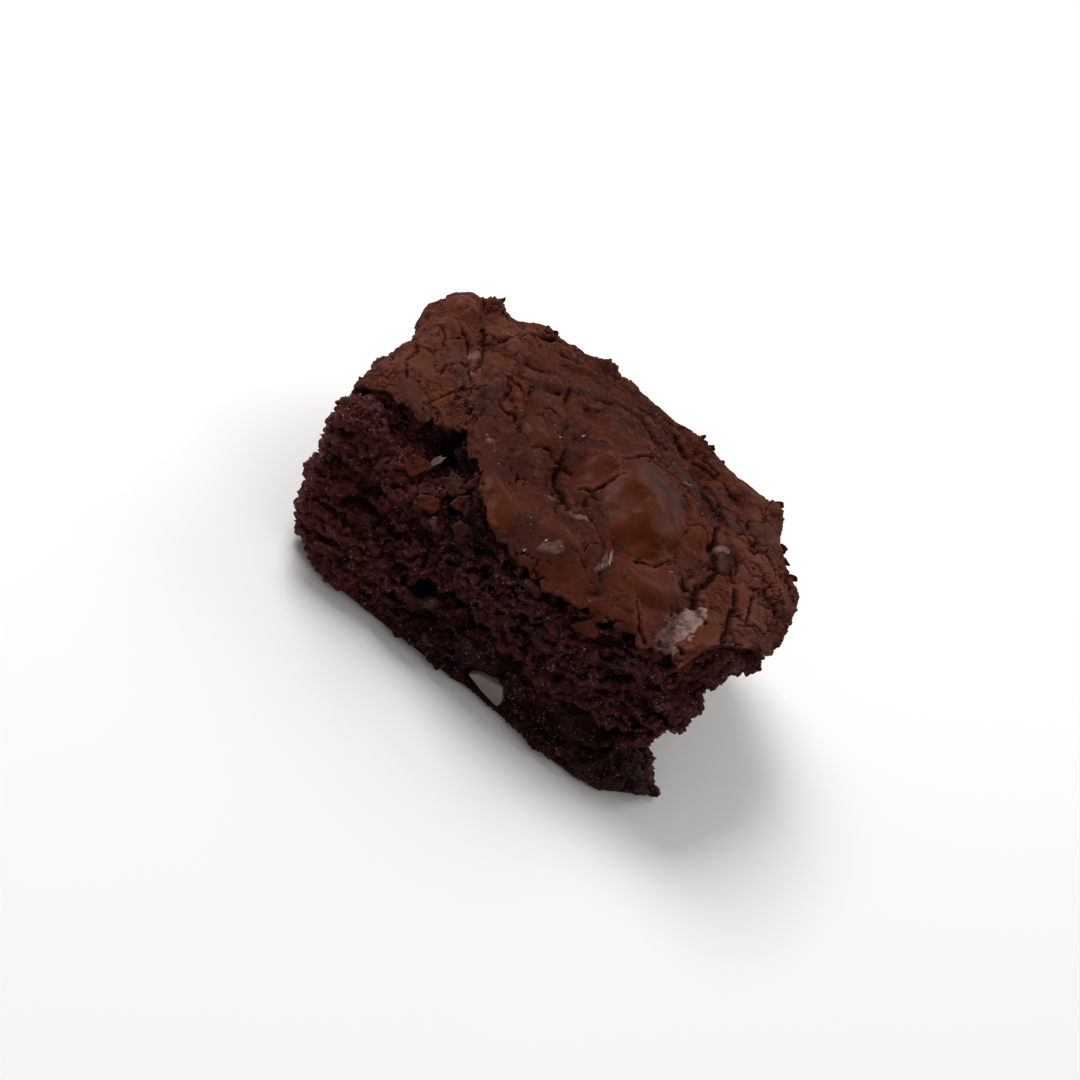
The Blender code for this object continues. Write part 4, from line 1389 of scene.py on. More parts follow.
def make_slivers(shape, colours):
    """Silvery slivers of dried film, whose pale colour paints the glints that they catch."""
    draw = np.random.default_rng(9)
    crust, crumb = piece_points("brownie_crust")[0], piece_points("brownie_crumb")[0]
    slivers = Gathered()
    for flake in SLIVERS:
        broken = broken_share(np.array([flake.x]), np.array([flake.y]))[0] > 0.5
        below = nearest_top(crumb if broken else crust, flake.x, flake.y, 0.15)[2]
        middle = np.array((flake.x, flake.y, below + flake.lift))
        sliver = flake_points(flake, middle, flake_turn(flake), draw, 0.6 * shape.flake_thickness)
        slivers.take(*sliver, flake.orange)
    return slivers.make("silver_slivers", silver_film(colours), "bright", "crust", smooth_shaded=False)


def lump_points(middle, size, draw):
    """A small rough lump, as points and faces."""
    golden = (1.0 + math.sqrt(5.0)) / 2.0
    corners = np.array([(-1, golden, 0), (1, golden, 0), (-1, -golden, 0), (1, -golden, 0),
                        (0, -1, golden), (0, 1, golden), (0, -1, -golden), (0, 1, -golden),
                        (golden, 0, -1), (golden, 0, 1), (-golden, 0, -1), (-golden, 0, 1)], float)
    faces = [(0, 11, 5), (0, 5, 1), (0, 1, 7), (0, 7, 10), (0, 10, 11), (1, 5, 9), (5, 11, 4),
             (11, 10, 2), (10, 7, 6), (7, 1, 8), (3, 9, 4), (3, 4, 2), (3, 2, 6), (3, 6, 8), (3, 8, 9),
             (4, 9, 5), (2, 4, 11), (6, 2, 10), (8, 6, 7), (9, 8, 1)]
    corners *= draw.uniform(0.6, 1.15, (12, 1)) / math.sqrt(1.0 + golden * golden)
    corners = corners * draw.uniform(0.7, 1.2, 3) * size
    return corners @ turned(*draw.uniform(0.0, 360.0, 3)).T + middle, faces


def make_bits(shape, colours):
    """Loose bits of crumb on the torn surfaces, on the crust's edges and in its seams."""
    draw = np.random.default_rng(21)
    bits = Gathered()
    crumb, normals = piece_points("brownie_crumb")
    torn = (broken_share(crumb[:, 0], crumb[:, 1]) > 0.5) & (normals[:, 2] > 0.3) & (crumb[:, 2] > 12.0)
    face = (crumb[:, 2] > 1.5) & (normals[:, 2] > 0.1) & (crumb[:, 1] < FRONT_Y + 6.0)
    for chosen, number in ((torn, shape.torn_bits), (face, shape.face_bits)):
        for index in draw.choice(np.flatnonzero(chosen), number, replace=False):
            size = draw.uniform(0.18, 0.50)
            middle = crumb[index] + normals[index] * 0.35 * size
            bits.take(*lump_points(middle, size, draw), draw.uniform(0.0, 1.0))
    crust, normals = piece_points("brownie_crust")
    crack = read_all(bpy.data.objects["brownie_crust"].data.attributes["crack"].data, "value", 1)[:, 0]
    seams = (crack > 0.7) & (normals[:, 2] > 0.3)
    for index in draw.choice(np.flatnonzero(seams), shape.seam_bits, replace=False):
        size = draw.uniform(0.12, 0.30)
        bits.take(*lump_points(crust[index], size, draw), draw.uniform(0.3, 1.0))
    return bits.make("crumb_bits", loose_bits(colours), "tone", "crumb", smooth_shaded=False)


def make_chunk(colours):
    """The pale chunk in the foot of the front face, smoothed from its solid."""
    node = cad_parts[CHUNK_NODE]
    mesh = node.data.copy()
    mesh.name = "pale_wedge"
    mesh.materials.clear()
    mesh.materials.append(pale_chocolate(colours))
    chunk = shown("pale_wedge", mesh)
    chunk.matrix_world = node.matrix_world.copy()
    weld = chunk.modifiers.new("weld", "WELD")
    weld.merge_threshold = 0.00001
    rounder = chunk.modifiers.new("rounder", "SUBSURF")
    rounder.levels = rounder.render_levels = 2
    mesh.shade_smooth()
    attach(chunk, BODY)
    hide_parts(CHUNK_NODE)
    return chunk


def paint(red, green, blue):
    """A colour given as it shows on a screen, from 0 to 255, as linear light."""
    shown = [value / 255.0 for value in (red, green, blue)]
    return tuple(c / 12.92 if c <= 0.04045 else ((c + 0.055) / 1.055) ** 2.4 for c in shown)


Mottle = namedtuple("Mottle", "broad fine")
Grain = namedtuple("Grain", "height pit")


class NodeMaker:
    """Adds shader nodes to a tree and links or sets their inputs."""

    def __init__(self, tree):
        self.tree = tree

    def add(self, kind, inputs=None, **settings):
        made = self.tree.nodes.new("ShaderNode" + kind)
        for name, value in settings.items():
            setattr(made, name, value)
        for name, value in (inputs or {}).items():
            if isinstance(value, bpy.types.NodeSocket):
                self.tree.links.new(value, made.inputs[name])
            else:
                made.inputs[name].default_value = value
        return made

    def maths(self, operation, *values):
        made = self.add("Math", dict(enumerate(values)), operation=operation)
        return made.outputs[0]

    def times(self, value, share):
        return self.maths("MULTIPLY", value, share)

    def larger(self, first, second):
        return self.maths("MAXIMUM", first, second)

    def blend(self, share, first, second):
        """Mixes two colours, given as sockets or linear values."""
        first, second = (c if isinstance(c, bpy.types.NodeSocket) else (*c, 1.0) for c in (first, second))
        made = self.add("Mix", {0: share, 6: first, 7: second}, data_type="RGBA")
        return made.outputs[2]

    def ramp(self, value, low, high, to_low=0.0, to_high=1.0):
        """Maps a value between two limits to between two others, clamped."""
        made = self.add("MapRange", {"Value": value, "From Min": low, "From Max": high,
                                     "To Min": to_low, "To Max": to_high})
        return made.outputs[0]

    def mask(self, name):
        return self.add("Attribute", attribute_name=name).outputs["Fac"]

    def group(self, tree, **inputs):
        return self.add("Group", inputs, node_tree=tree).outputs

    def mottle(self, scale, contrast):
        return Mottle(*self.group(mottle_group(), Scale=scale, Contrast=contrast))

    def grain(self, scale, pits):
        return Grain(*self.group(grain_group(), Scale=scale, Pits=pits))

    def strayed(self, where, scale, detail, reach):
        """A place that strays a little by noise; the reach is in metres."""
        stray = self.add("TexNoise", {"Vector": where, "Scale": scale, "Detail": detail})
        bend = self.add("VectorMath", {0: stray.outputs["Color"], "Scale": reach}, operation="SCALE")
        return self.add("VectorMath", {0: where, 1: bend.outputs[0]}, operation="ADD").outputs[0]


def new_group(name, inputs, outputs):
    """A new shader group, its maker, the place on the object, and what it is given and hands back."""
    tree = bpy.data.node_groups.new(name, "ShaderNodeTree")
    for label, value in inputs.items():
        socket = tree.interface.new_socket(label, in_out="INPUT", socket_type="NodeSocketFloat")
        socket.default_value = value
    for label in outputs:
        tree.interface.new_socket(label, in_out="OUTPUT", socket_type="NodeSocketFloat")
    maker = NodeMaker(tree)
    start = tree.nodes.new("NodeGroupInput")
    end = tree.nodes.new("NodeGroupOutput")
    where = maker.add("TexCoord").outputs["Object"]
    return tree, maker, where, start.outputs, end.inputs


def mottle_group():
    """Uneven browning: broad patches and fine ones, from 0 to 1."""
    if "Mottle" in bpy.data.node_groups:
        return bpy.data.node_groups["Mottle"]
    tree, make, where, given, result = new_group("Mottle", {"Scale": 200.0, "Contrast": 1.0},
                                                 ("Broad", "Fine"))
    fine_scale = make.times(given["Scale"], 5.3)
    reach = make.maths("DIVIDE", 0.22, given["Contrast"])
    for label, scale in (("Broad", given["Scale"]), ("Fine", fine_scale)):
        spots = make.add("TexNoise", {"Vector": where, "Scale": scale, "Detail": 6.0,
                                      "Roughness": 0.62, "Distortion": 0.4})
        low = make.maths("SUBTRACT", 0.5, reach)
        high = make.maths("ADD", 0.5, reach)
        tree.links.new(make.ramp(spots.outputs["Fac"], low, high), result[label])
    return tree


def grain_group():
    """A fine grain as a height: tiny lumps between tiny pits."""
    if "Grain" in bpy.data.node_groups:
        return bpy.data.node_groups["Grain"]
    tree, make, where, given, result = new_group("Grain", {"Scale": 2500.0, "Pits": 0.5}, ("Height", "Pit"))
    lumps = make.add("TexNoise", {"Vector": where, "Scale": given["Scale"], "Detail": 5.0, "Roughness": 0.7})
    coarse = make.times(given["Scale"], 0.45)
    dots = make.add("TexVoronoi", {"Vector": where, "Scale": coarse})
    pit = make.ramp(dots.outputs["Distance"], 0.26, 0.08)
    pit = make.times(pit, given["Pits"])
    height = make.maths("SUBTRACT", lumps.outputs["Fac"], pit)
    tree.links.new(height, result["Height"])
    tree.links.new(pit, result["Pit"])
    return tree


def painted_glint_group():
    """Sparse tiny spots: a mask for painted glints, as moist facets make them."""
    if "PaintedGlints" in bpy.data.node_groups:
        return bpy.data.node_groups["PaintedGlints"]
    tree, make, where, given, result = new_group("PaintedGlints", {"Scale": 1500.0, "Share": 0.06}, ("Mask",))
    moved = make.strayed(where, 3500.0, 2.0, 0.0006)
    dots = make.add("TexVoronoi", {"Vector": moved, "Scale": given["Scale"]})
    chosen = make.add("SeparateColor", {"Color": dots.outputs["Color"]}).outputs["Red"]
    chosen = make.maths("LESS_THAN", chosen, given["Share"])
    close = make.ramp(dots.outputs["Distance"], 0.34, 0.10)
    tree.links.new(make.times(chosen, close), result["Mask"])
    return tree


def hairline_group():
    """Hairline cracks between small plates, as a mask."""
    if "Hairlines" in bpy.data.node_groups:
        return bpy.data.node_groups["Hairlines"]
    tree, make, where, given, result = new_group("Hairlines", {"Scale": 420.0, "Width": 0.03}, ("Mask",))
    moved = make.strayed(where, 700.0, 4.0, 0.0016)
    edges = make.add("TexVoronoi", {"Vector": moved, "Scale": given["Scale"]}, feature="DISTANCE_TO_EDGE")
    near = make.ramp(edges.outputs["Distance"], given["Width"], 0.0)
    broken = make.add("TexNoise", {"Vector": where, "Scale": 240.0, "Detail": 2.0})
    here = make.ramp(broken.outputs["Fac"], 0.45, 0.54)
    tree.links.new(make.times(near, here), result["Mask"])
    return tree


def new_material(name):
    """An empty material with its maker and its Principled shader."""
    material = bpy.data.materials.new(name)
    material.use_nodes = True
    material.node_tree.nodes.clear()
    make = NodeMaker(material.node_tree)
    shader = make.add("BsdfPrincipled")
    output = make.add("OutputMaterial")
    material.node_tree.links.new(shader.outputs[0], output.inputs[0])
    return material, make, shader


def finish_shader(make, shader, colour, roughness, height, bump, distance, specular):
    """Links what a surface varies into its shader; distance is the bump's height in metres."""
    rough = make.add("Bump", {"Height": height, "Strength": bump, "Distance": distance})
    for name, socket in (("Base Color", colour), ("Roughness", roughness), ("Normal", rough.outputs[0])):
        make.tree.links.new(socket, shader.inputs[name])
    shader.inputs["Specular IOR Level"].default_value = specular


def crust_skin(colours):
    """Papery red-brown crust with dark cracks, orange blisters and a silvery film, with painted shade in its
    valleys and pits, a painted highlight on its ridges and lips, and painted glints.
    """
    material, make, shader = new_material("crust_skin")
    broad = make.mottle(150.0, 1.0)
    spots = make.mottle(800.0, 1.1)
    grain = make.grain(2600.0, 0.5)
    blister, crack, film = make.mask("blister"), make.mask("crack"), make.mask("film")
    hollow = make.mask("hollow")
    colour = make.blend(broad.broad, colours.crust_dark, colours.crust)
    colour = make.blend(make.times(spots.broad, 0.40), colour, colours.crust_light_and_highlight)
    patches = make.mottle(95.0, 1.5)
    colour = make.blend(make.times(patches.broad, 0.36), colour, colours.crust_warm)
    colour = make.blend(make.times(make.mask("end_light"), 0.75), colour, colours.crust_light_and_highlight)
    colour = make.blend(make.ramp(make.mask("plate"), 0.55, 0.90, 0.0, 0.80), colour, colours.crust_warm)
    colour = make.blend(make.ramp(make.mask("plate"), 0.45, 0.10, 0.0, 0.75), colour, colours.crust_grey)
    # Painted shade along the fold valleys
    colour = make.blend(make.times(make.mask("fold"), 0.35), colour, colours.crust_dark)
    orange = make.blend(broad.fine, colours.blister, colours.blister_light)
    colour = make.blend(make.times(blister, 0.25), colour, colours.crust_light_and_highlight)
    colour = make.blend(make.mask("orange"), colour, orange)
    colour = make.blend(make.times(make.mask("grey"), 0.70), colour, colours.grey_patch)
    # Painted highlight: ridges and crack lips take the lighter crust colour
    lip = make.times(make.mask("lip"), 0.35)
    ridge = make.ramp(hollow, -0.2, -1.3, 0.0, 0.50)
    colour = make.blend(make.larger(lip, ridge), colour, colours.crust_light_and_highlight)
    silver = make.blend(make.mask("crinkle"), colours.film, colours.film_light_and_glint)
    colour = make.blend(film, colour, silver)
    # Painted shade in the crust's hollows
    valley_shade = make.ramp(hollow, 0.10, 1.1, 0.0, 0.75)
    hairs = make.larger(make.group(hairline_group(), Scale=430.0, Width=0.045)["Mask"],
                        make.group(hairline_group(), Scale=190.0, Width=0.028)["Mask"])
    hairs = make.times(hairs, make.mask("hairs"))
    # Cracks and hairlines are dark in their own right; the painted shade of the valleys and pits joins them
    # in the cracks' colour
    dark = make.larger(make.times(crack, 0.92), valley_shade)
    dark = make.larger(dark, make.times(hairs, 0.95))
    dark = make.larger(dark, make.times(grain.pit, 0.45))
    crumbly = make.blend(spots.fine, colours.crack, colours.seam)
    colour = make.blend(make.times(make.mask("seam"), 0.65), colour, crumbly)
    colour = make.blend(make.times(spots.fine, 0.22), colour, colours.crust_dark)
    colour = make.blend(dark, colour, colours.crack)
    # Painted glints: tiny bright spots in the crust's colour, fewer on the blisters
    glint_specks = make.group(painted_glint_group(), Scale=2000.0, Share=0.02)
    glints = make.times(glint_specks["Mask"], make.ramp(blister, 0.0, 0.6, 0.5, 0.0))
    colour = make.blend(glints, colour, colours.film_light_and_glint)
    uneven = make.ramp(spots.fine, 0.0, 1.0, 0.44, 0.64)
    smoother = make.maths("SUBTRACT", uneven, make.times(blister, 0.06))
    smoother = make.maths("SUBTRACT", smoother, make.times(film, 0.20))
    smoother = make.larger(smoother, make.times(dark, 0.95))
    flatter = make.times(grain.height, make.ramp(blister, 0.0, 1.0, 1.0, 0.25))
    flatter = make.maths("SUBTRACT", flatter, hairs)
    shine = make.times(make.larger(blister, film), 0.09)
    sheen = make.ramp(spots.broad, 0.62, 0.95, 0.0, 0.18)
    sheen = make.times(sheen, make.maths("SUBTRACT", 1.0, dark))
    make.tree.links.new(make.larger(shine, sheen), shader.inputs["Coat Weight"])
    shader.inputs["Coat Roughness"].default_value = 0.26
    shader.inputs["Coat IOR"].default_value = 1.3
    finish_shader(make, shader, colour, smoother, flatter, 0.9, 0.00024, 0.03)
    return material


def torn_crumb(colours):
    """Moist, nearly black crumb with fine painted glints, painted shade in its hollows, pits and under the
    crust's broken edge, and a painted highlight on its ridges.
    """
    material, make, shader = new_material("torn_crumb")
    broad = make.mottle(190.0, 1.3)
    spots = make.mottle(1900.0, 2.0)
    grain = make.grain(2000.0, 0.9)
    patches = make.mottle(110.0, 1.2)
    glint_specks = make.group(painted_glint_group(), Scale=2900.0, Share=0.46)
    hollow, smear = make.mask("hollow"), make.mask("smear")
    colour = make.blend(broad.broad, colours.crumb_dark, colours.crumb)
    colour = make.blend(make.ramp(make.mask("tone"), 0.55, 1.0, 0.0, 0.8), colour, colours.crumb_light_and_highlight)
    colour = make.blend(make.times(spots.broad, 0.6), colour, colours.crumb_light_and_highlight)
    redder = make.larger(make.times(make.mask("reddish"), 0.65), make.times(patches.broad, 0.30))
    colour = make.blend(redder, colour, colours.crumb_red)
    # Painted highlight on the crumb's ridges
    ridge = make.ramp(hollow, -0.15, -1.1, 0.0, 0.50)
    colour = make.blend(ridge, colour, colours.crumb_light_and_highlight)
    colour = make.blend(make.times(smear, 0.60), colour, colours.smear)
    colour = make.blend(make.times(make.mask("rim"), 0.65), colour, colours.base_rim)
    colour = make.blend(make.times(make.mask("toe"), 0.95), colour, colours.toe)
    # Painted shade in the crumb's hollows and the grain's pits, weaker where the crumb is reddish
    hollow_shade = make.times(make.ramp(hollow, 0.10, 0.90, 0.0, 0.96),
                      make.ramp(make.mask("reddish"), 0.0, 1.0, 1.0, 0.72))
    dark = make.larger(hollow_shade, make.times(grain.pit, 0.8))
    colour = make.blend(make.times(make.mask("low"), 0.74), colour, colours.crumb_dark)
    # Painted shadow in the slot under the crust's broken edge
    dark = make.larger(dark, make.times(make.mask("shade"), 0.95))
    colour = make.blend(dark, colour, colours.crevice_shade)
    colour = make.blend(make.times(make.mask("pale"), 0.8), colour, colours.pale_spot)
    # Painted glints: moist highlights as bright spots in clusters, dimmer in the painted shadow
    glints = make.times(glint_specks["Mask"], make.ramp(broad.fine, 0.38, 0.80))
    glints = make.times(glints, make.ramp(make.mask("shade"), 0.2, 0.9, 1.0, 0.6))
    colour = make.blend(glints, colour, colours.painted_glint)
    roughness = make.ramp(spots.fine, 0.0, 1.0, 0.26, 0.56)
    roughness = make.larger(roughness, make.times(dark, 0.8))
    finish_shader(make, shader, colour, roughness, grain.height, 1.0, 0.00055, 0.055)
    return material


def loose_bits(colours):
    """The small crumbs' dull brown."""
    material, make, shader = new_material("loose_bits")
    spots = make.mottle(1500.0, 1.2)
    grain = make.grain(3200.0, 0.6)
    colour = make.blend(make.mask("tone"), colours.crumb_dark, colours.crumb_light_and_highlight)
    colour = make.blend(make.times(spots.broad, 0.4), colour, colours.crumb_red)
    roughness = make.ramp(spots.fine, 0.0, 1.0, 0.32, 0.6)
    finish_shader(make, shader, colour, roughness, grain.height, 0.8, 0.0002, 0.09)
    return material


def silver_film(colours):
    """Dried film, with the glints it catches painted into its pale colour."""
    material, make, shader = new_material("silver_film")
    spots = make.mottle(1200.0, 1.0)
    grain = make.grain(3200.0, 0.4)
    colour = make.blend(make.mask("bright"), colours.film, colours.sliver_glint)
    colour = make.blend(make.times(spots.broad, 0.5), colour, colours.film)
    roughness = make.ramp(spots.fine, 0.0, 1.0, 0.28, 0.5)
    finish_shader(make, shader, colour, roughness, grain.height, 0.4, 0.00012, 0.2)
    return material


def loose_flake(colours):
    """Dry crust, from brown to orange."""
    material, make, shader = new_material("loose_flake")
    spots = make.mottle(480.0, 1.6)
    grain = make.grain(3000.0, 0.6)
    colour = make.blend(make.mask("orange"), colours.crust, colours.flake)
    colour = make.blend(make.times(spots.broad, 0.70), colour, colours.crust_dark)
    colour = make.blend(make.times(spots.fine, 0.55), colour, colours.seam)
    # Painted shade in the flake's pits
    colour = make.blend(make.times(grain.pit, 0.7), colour, colours.crack)
    roughness = make.ramp(spots.fine, 0.0, 1.0, 0.42, 0.6)
    finish_shader(make, shader, colour, roughness, grain.height, 0.5, 0.00018, 0.08)
    return material


def pale_chocolate(colours):
    """Smooth, waxy, greyish chocolate."""
    material, make, shader = new_material("pale_chocolate")
    spots = make.mottle(400.0, 0.8)
    grain = make.grain(2600.0, 0.2)
    colour = make.blend(make.times(spots.broad, 0.5), colours.pale, colours.pale_dark)
    roughness = make.ramp(spots.fine, 0.0, 1.0, 0.38, 0.52)
    finish_shader(make, shader, colour, roughness, grain.height, 0.25, 0.0001, 0.15)
    return material


def floor_surface(colours):
    """A pale, dull floor."""
    material, make, shader = new_material("floor_matte")
    spots = make.mottle(30.0, 0.5)
    grain = make.grain(900.0, 0.0)
    pale = make.blend(make.times(spots.broad, 0.02), colours.floor, (0.70, 0.69, 0.68))
    roughness = make.ramp(spots.fine, 0.0, 1.0, 0.80, 0.84)
    finish_shader(make, shader, pale, roughness, grain.height, 0.02, 0.0001, 0.2)
    return material


# The camera, in the design's frame: its height angle, its roll, its distance, the place that it looks at
# and how far it is then shifted down, with its lens
CAMERA_ELEVATION = 33.5
CAMERA_ROLL = 35.5
CAMERA_DISTANCE = 315.0
CAMERA_TARGET = (0.0, 0.0, 13.95)
CAMERA_DROP = 1.02
CAMERA_LENS = 72.17
SENSOR_WIDTH = 36.0

# The floor's half width in metres
FLOOR_HALF = 1.6

# Soft lights: name, direction from the object, distance and width in metres, and share of the power
Light = namedtuple("Light", "name direction distance width share")
LIGHTS = (
    Light("key_light", (-0.55, 0.30, 0.80), 0.60, 0.30, 1.0),
    Light("fill_light", (0.55, -0.70, 0.55), 0.70, 0.60, 0.22),
    Light("back_light", (0.35, 0.80, 0.60), 0.60, 0.40, 0.35),
)


def make_stage(stage, colours):
    """The pale floor, the soft lights and the camera at the photo's angle."""
    corners = [(x * FLOOR_HALF, y * FLOOR_HALF, 0.0) for x, y in ((-1, -1), (1, -1), (1, 1), (-1, 1))]
    mesh = bpy.data.meshes.new("floor")
    mesh.from_pydata(corners, [], [(0, 1, 2, 3)])
    mesh.materials.append(floor_surface(colours))
    shown("floor", mesh)
    for light in LIGHTS:
        data = bpy.data.lights.new(light.name, "AREA")
        data.size = light.width
        data.energy = stage.light_power * light.share
        lamp = shown(light.name, data)
        direction = Vector(light.direction).normalized()
        lamp.location = direction * light.distance
        lamp.rotation_euler = direction.to_track_quat("Z", "Y").to_euler()
    world = bpy.data.worlds.new("soft_room")
    world.use_nodes = True
    background = world.node_tree.nodes["Background"]
    background.inputs["Color"].default_value = (*stage.room_colour, 1.0)
    background.inputs["Strength"].default_value = stage.room_light
    scene = bpy.context.scene
    scene.world = world
    scene.view_settings.view_transform = "Standard"
    scene.camera = make_camera()


def make_camera():
    """The camera at the photo's angle."""
    elevation, roll = math.radians(CAMERA_ELEVATION), math.radians(CAMERA_ROLL)
    back = Vector((0.0, -math.cos(elevation), math.sin(elevation)))
    right = Vector((1.0, 0.0, 0.0))
    up = back.cross(right)
    image_right = right * math.cos(roll) + up * math.sin(roll)
    image_up = up * math.cos(roll) - right * math.sin(roll)
    target = Vector(CAMERA_TARGET) + Vector((*CENTRE_SHIFT, 0.0)) - image_up * CAMERA_DROP
    data = bpy.data.cameras.new("photo_camera")
    data.lens = CAMERA_LENS
    data.sensor_width = SENSOR_WIDTH
    data.clip_start = 0.01
    camera = shown("photo_camera", data)
    turn = Matrix((image_right, image_up, back)).transposed().to_4x4()
    camera.matrix_world = Matrix.Translation((target + back * CAMERA_DISTANCE) * MM) @ turn
    return camera


def length(name, description, default):
    """A size in millimetres that the user can change."""
    return FloatProperty(name=name, description=description + ", in mm", default=default, min=0.0,
                         soft_max=10.0)


def colour(name, description, *shown):
    """A colour that the user can change, given as it shows on a screen."""
    return FloatVectorProperty(name=name, description=description, subtype="COLOR", size=3,
                               default=paint(*shown), min=0.0, max=1.0)


def count(name, description, default):
    """A number of loose bits that the user can change."""
    return IntProperty(name=name, description=description, default=default, min=1)


class BrownieShape(bpy.types.PropertyGroup):
    crumb_cell: length("Crumb cell", "Size of the crumb's mesh cells", 0.27)
    crust_cell: length("Crust cell", "Size of the crust's mesh cells", 0.215)
    crust_thickness: length("Crust thickness", "Thickness of the crust away from its edges", 1.35)
    edge_thickness: length("Edge thickness", "Thickness of the crust's ragged edge", 0.30)
    edge_curl: length("Edge curl", "How far the crust's edges curl up or down", 0.5)
    fold_height: length("Fold height", "Height of the crust's soft folds", 0.30)
    fold_depth: length("Fold depth", "Depth of the valleys between folds", 0.36)
    fold_half: length("Fold half width", "Half width of the valleys between folds", 0.90)
    lump_height: length("Lump height", "Height of the crust's rough lumps", 0.12)
    crag_height: length("Crag height", "Height of the crags along the crust's rims", 0.40)
    rubble_height: length("Rubble height", "Height of the crumbly relief by seams and crags", 0.55)
    wrinkle_height: length("Wrinkle height", "Height of the crust's fine wrinkles", 0.075)
    deepest: length("Deepest fold", "Greatest depth of any fold or crack of the crust", 0.85)
    plate_size: length("Plate size", "Size of the plates that cracks divide the crust into", 5.0)
    plate_step: length("Plate step", "Height by which one plate may stand over the next", 0.12)
    crack_half: length("Crack half width", "Half width of the crust's cracks", 0.11)
    crack_depth: length("Crack depth", "Depth of the crust's cracks", 0.55)
    lip_height: length("Lip height", "Height of the lips beside a crack", 0.12)
    pit_depth: length("Pit depth", "Depth of the pinholes in the crust", 0.45)
    crumb_swell: length("Crumb swell", "Height of the crumb's uneven lumps", 0.95)
    clump_size: length("Clump size", "Size of the crumb's clumps", 0.95)
    clump_height: length("Clump height", "Height of the steps between the crumb's clumps", 0.34)
    grain_height: length("Grain height", "Height of the steps between the crumb's grains", 0.28)
    crumb_grain: length("Crumb grain", "Height of the crumb's finest relief", 0.36)
    pore_depth: length("Pore depth", "Depth of the crumb's open pores", 0.75)
    chunk_clearance: length("Chunk clearance", "How far the crumb stands back round the chunk", 1.0)
    overhang: length("Overhang", "How far the torn crumb hangs over itself", 0.35)
    skirt_inset: length("Skirt inset", "How far the crumb stands back behind the crust's hem", 0.8)
    flake_thickness: length("Flake thickness", "Thickness of a loose flake", 0.22)
    torn_bits: count("Torn bits", "Loose bits in the broken corner", 170)
    face_bits: count("Face bits", "Loose bits on the front face", 160)
    seam_bits: count("Seam bits", "Loose bits in the crust's seams", 170)
    piece_triangles: IntProperty(name="Triangles", description="Most triangles in the crumb",
                                 default=194000, min=20000, max=199000)


class BrownieColours(bpy.types.PropertyGroup):
    crust: colour("Crust", "Brown of the crust", 58, 23, 14)
    crust_dark: colour("Crust, dark", "Darker patches of the crust", 46, 16, 9)
    # Also painted on ridges and crack lips as a highlight
    crust_light_and_highlight: colour("Crust, light", "Lighter, drier ridges of the crust", 102, 56, 43)
    crust_warm: colour("Crust, warm", "Warmer, more orange plates of the crust", 90, 39, 21)
    crust_grey: colour("Crust, grey", "Greyer plates of the crust", 56, 30, 27)
    blister: colour("Blister", "Smooth orange-brown patches", 64, 22, 3)
    blister_light: colour("Blister, light", "Lighter orange-brown patches", 78, 30, 6)
    grey_patch: colour("Blister, grey", "Greyish patches on the blisters", 52, 24, 20)
    film: colour("Film", "Silvery film on the crust", 70, 44, 40)
    # Also the colour of the glints painted on the crust
    film_light_and_glint: colour("Film, light", "Lighter wrinkles of the silvery film", 146, 118, 108)
    # Also the shade painted in the crust's valleys and pits, and in the loose flakes' pits
    crack: colour("Crack", "Inside of the cracks", 24, 5, 2)
    seam: colour("Seam", "Dark reddish crumbs in the seams", 50, 16, 10)
    crumb: colour("Crumb", "Brown of the torn crumb", 50, 17, 17)
    crumb_dark: colour("Crumb, dark", "Darker patches of the torn crumb", 28, 6, 7)
    # Also painted on the crumb's ridges as a highlight
    crumb_light_and_highlight: colour("Crumb, light", "Lighter grains of the crumb", 86, 42, 41)
    crumb_red: colour("Crumb, reddish", "Drier, redder crumb at the left end", 84, 37, 29)
    # Shade painted in the crumb's hollows, pits and the slot under the crust's broken edge
    crevice_shade: colour("Crevice", "Inside of the crumb's pores and fissures", 10, 2, 2)
    smear: colour("Smear", "Smooth greyish smeared crumb", 60, 36, 35)
    base_rim: colour("Base rim", "Baked rim along the base", 84, 33, 23)
    toe: colour("Toe", "Pinkish film on the foot of the right front corner", 86, 50, 48)
    pale_spot: colour("Pale spot", "Pale spots in the front face", 84, 60, 54)
    flake: colour("Flake", "Orange-brown loose flakes", 102, 42, 20)
    # Pale colour of the brightest slivers, which paints the glints they catch
    sliver_glint: colour("Sliver", "Brightest silvery slivers", 178, 152, 140)
    # Glints painted into the crumb's colour
    painted_glint: colour("Glint", "Moist glints in the crumb", 190, 166, 162)
    pale: colour("Pale chunk", "Pale chocolate", 124, 110, 108)
    pale_dark: colour("Pale chunk, dark", "Darker patches of the pale chocolate", 92, 76, 75)
    floor: colour("Floor", "Pale floor", 240, 239, 237)


class BrownieStage(bpy.types.PropertyGroup):
    light_power: FloatProperty(name="Light power", description="Power of the key light in watts",
                               default=3.1, min=0.0, unit="POWER")
    room_light: FloatProperty(name="Room light", description="Strength of the light all round",
                              default=0.36, min=0.0)
    room_colour: colour("Room colour", "Colour of the light all round", 255, 255, 255)


def looks(context):
    """The sizes and colours that the pieces are made with."""
    return context.scene.brownie_shape, context.scene.brownie_colours


class BROWNIE_OT_stage(bpy.types.Operator):
    """Adds the pale floor, the soft lights and the camera"""

    bl_idname = "brownie.stage"
    bl_label = "Stage"

    def execute(self, context):
        make_stage(context.scene.brownie_stage, context.scene.brownie_colours)
        return {"FINISHED"}


class BROWNIE_OT_crumb(bpy.types.Operator):
    """Adds the torn crumb under the crust"""

    bl_idname = "brownie.crumb"
    bl_label = "Crumb"

    def execute(self, context):
        make_crumb(*looks(context))
        return {"FINISHED"}


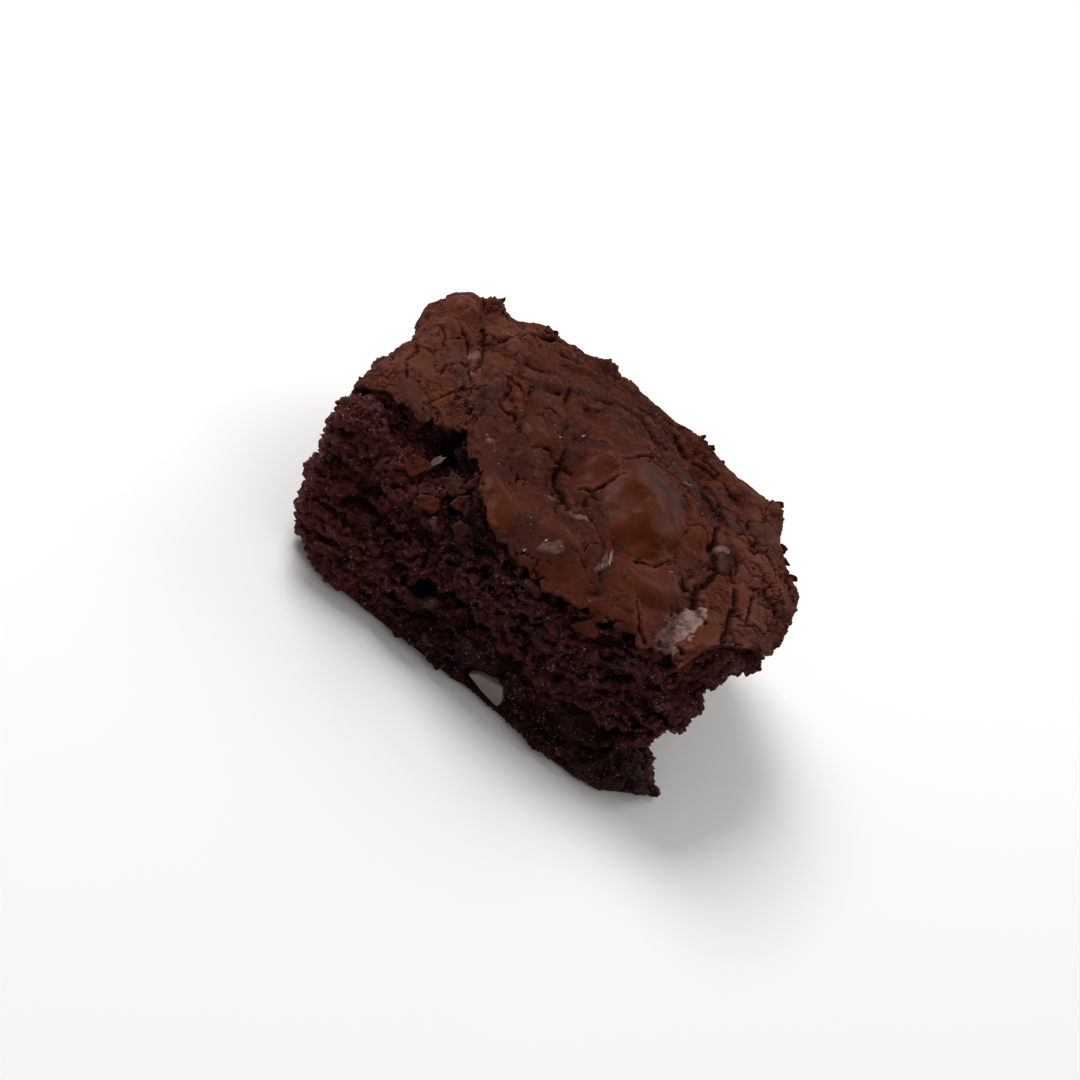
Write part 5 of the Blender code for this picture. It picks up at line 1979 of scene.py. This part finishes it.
class BROWNIE_OT_crust(bpy.types.Operator):
    """Adds the papery crust"""

    bl_idname = "brownie.crust"
    bl_label = "Crust"

    def execute(self, context):
        make_crust(*looks(context))
        return {"FINISHED"}


class BROWNIE_OT_flakes(bpy.types.Operator):
    """Adds the loose flakes of crust"""

    bl_idname = "brownie.flakes"
    bl_label = "Flakes"

    def execute(self, context):
        make_flakes(*looks(context))
        return {"FINISHED"}


class BROWNIE_OT_slivers(bpy.types.Operator):
    """Adds the silvery slivers on the crust"""

    bl_idname = "brownie.slivers"
    bl_label = "Slivers"

    def execute(self, context):
        make_slivers(*looks(context))
        return {"FINISHED"}


class BROWNIE_OT_bits(bpy.types.Operator):
    """Adds the loose bits of crumb"""

    bl_idname = "brownie.bits"
    bl_label = "Bits"

    def execute(self, context):
        make_bits(*looks(context))
        return {"FINISHED"}


class BROWNIE_OT_chunk(bpy.types.Operator):
    """Adds the pale chunk in the front face"""

    bl_idname = "brownie.chunk"
    bl_label = "Pale chunk"

    def execute(self, context):
        make_chunk(context.scene.brownie_colours)
        return {"FINISHED"}


OPERATORS = (BROWNIE_OT_stage, BROWNIE_OT_crumb, BROWNIE_OT_crust, BROWNIE_OT_flakes, BROWNIE_OT_slivers,
             BROWNIE_OT_bits, BROWNIE_OT_chunk)


class BROWNIE_PT_panel(bpy.types.Panel):
    bl_label = "Brownie"
    bl_idname = "BROWNIE_PT_panel"
    bl_space_type = "VIEW_3D"
    bl_region_type = "UI"
    bl_category = "Brownie"

    def draw(self, context):
        layout = self.layout
        for operator in OPERATORS:
            layout.operator(operator.bl_idname)
        for group, _ in GROUPS:
            box = layout.box()
            settings = getattr(context.scene, group)
            for name in settings.bl_rna.properties.keys():
                if name not in ("rna_type", "name"):
                    box.prop(settings, name)


GROUPS = (("brownie_shape", BrownieShape), ("brownie_colours", BrownieColours),
          ("brownie_stage", BrownieStage))


def register():
    """Makes the settings, the operators and the panel known."""
    for name, group in GROUPS:
        bpy.utils.register_class(group)
        setattr(bpy.types.Scene, name, PointerProperty(type=group))
    for made in (*OPERATORS, BROWNIE_PT_panel):
        bpy.utils.register_class(made)


def unregister():
    """Takes them away again."""
    for made in reversed((*OPERATORS, BROWNIE_PT_panel)):
        bpy.utils.unregister_class(made)
    for name, group in reversed(GROUPS):
        delattr(bpy.types.Scene, name)
        bpy.utils.unregister_class(group)


def main():
    """Makes the whole scene."""
    register()
    bpy.ops.brownie.stage()
    bpy.ops.brownie.crumb()
    bpy.ops.brownie.crust()
    bpy.ops.brownie.flakes()
    bpy.ops.brownie.slivers()
    bpy.ops.brownie.bits()
    bpy.ops.brownie.chunk()


if __name__ == "__main__":
    main()
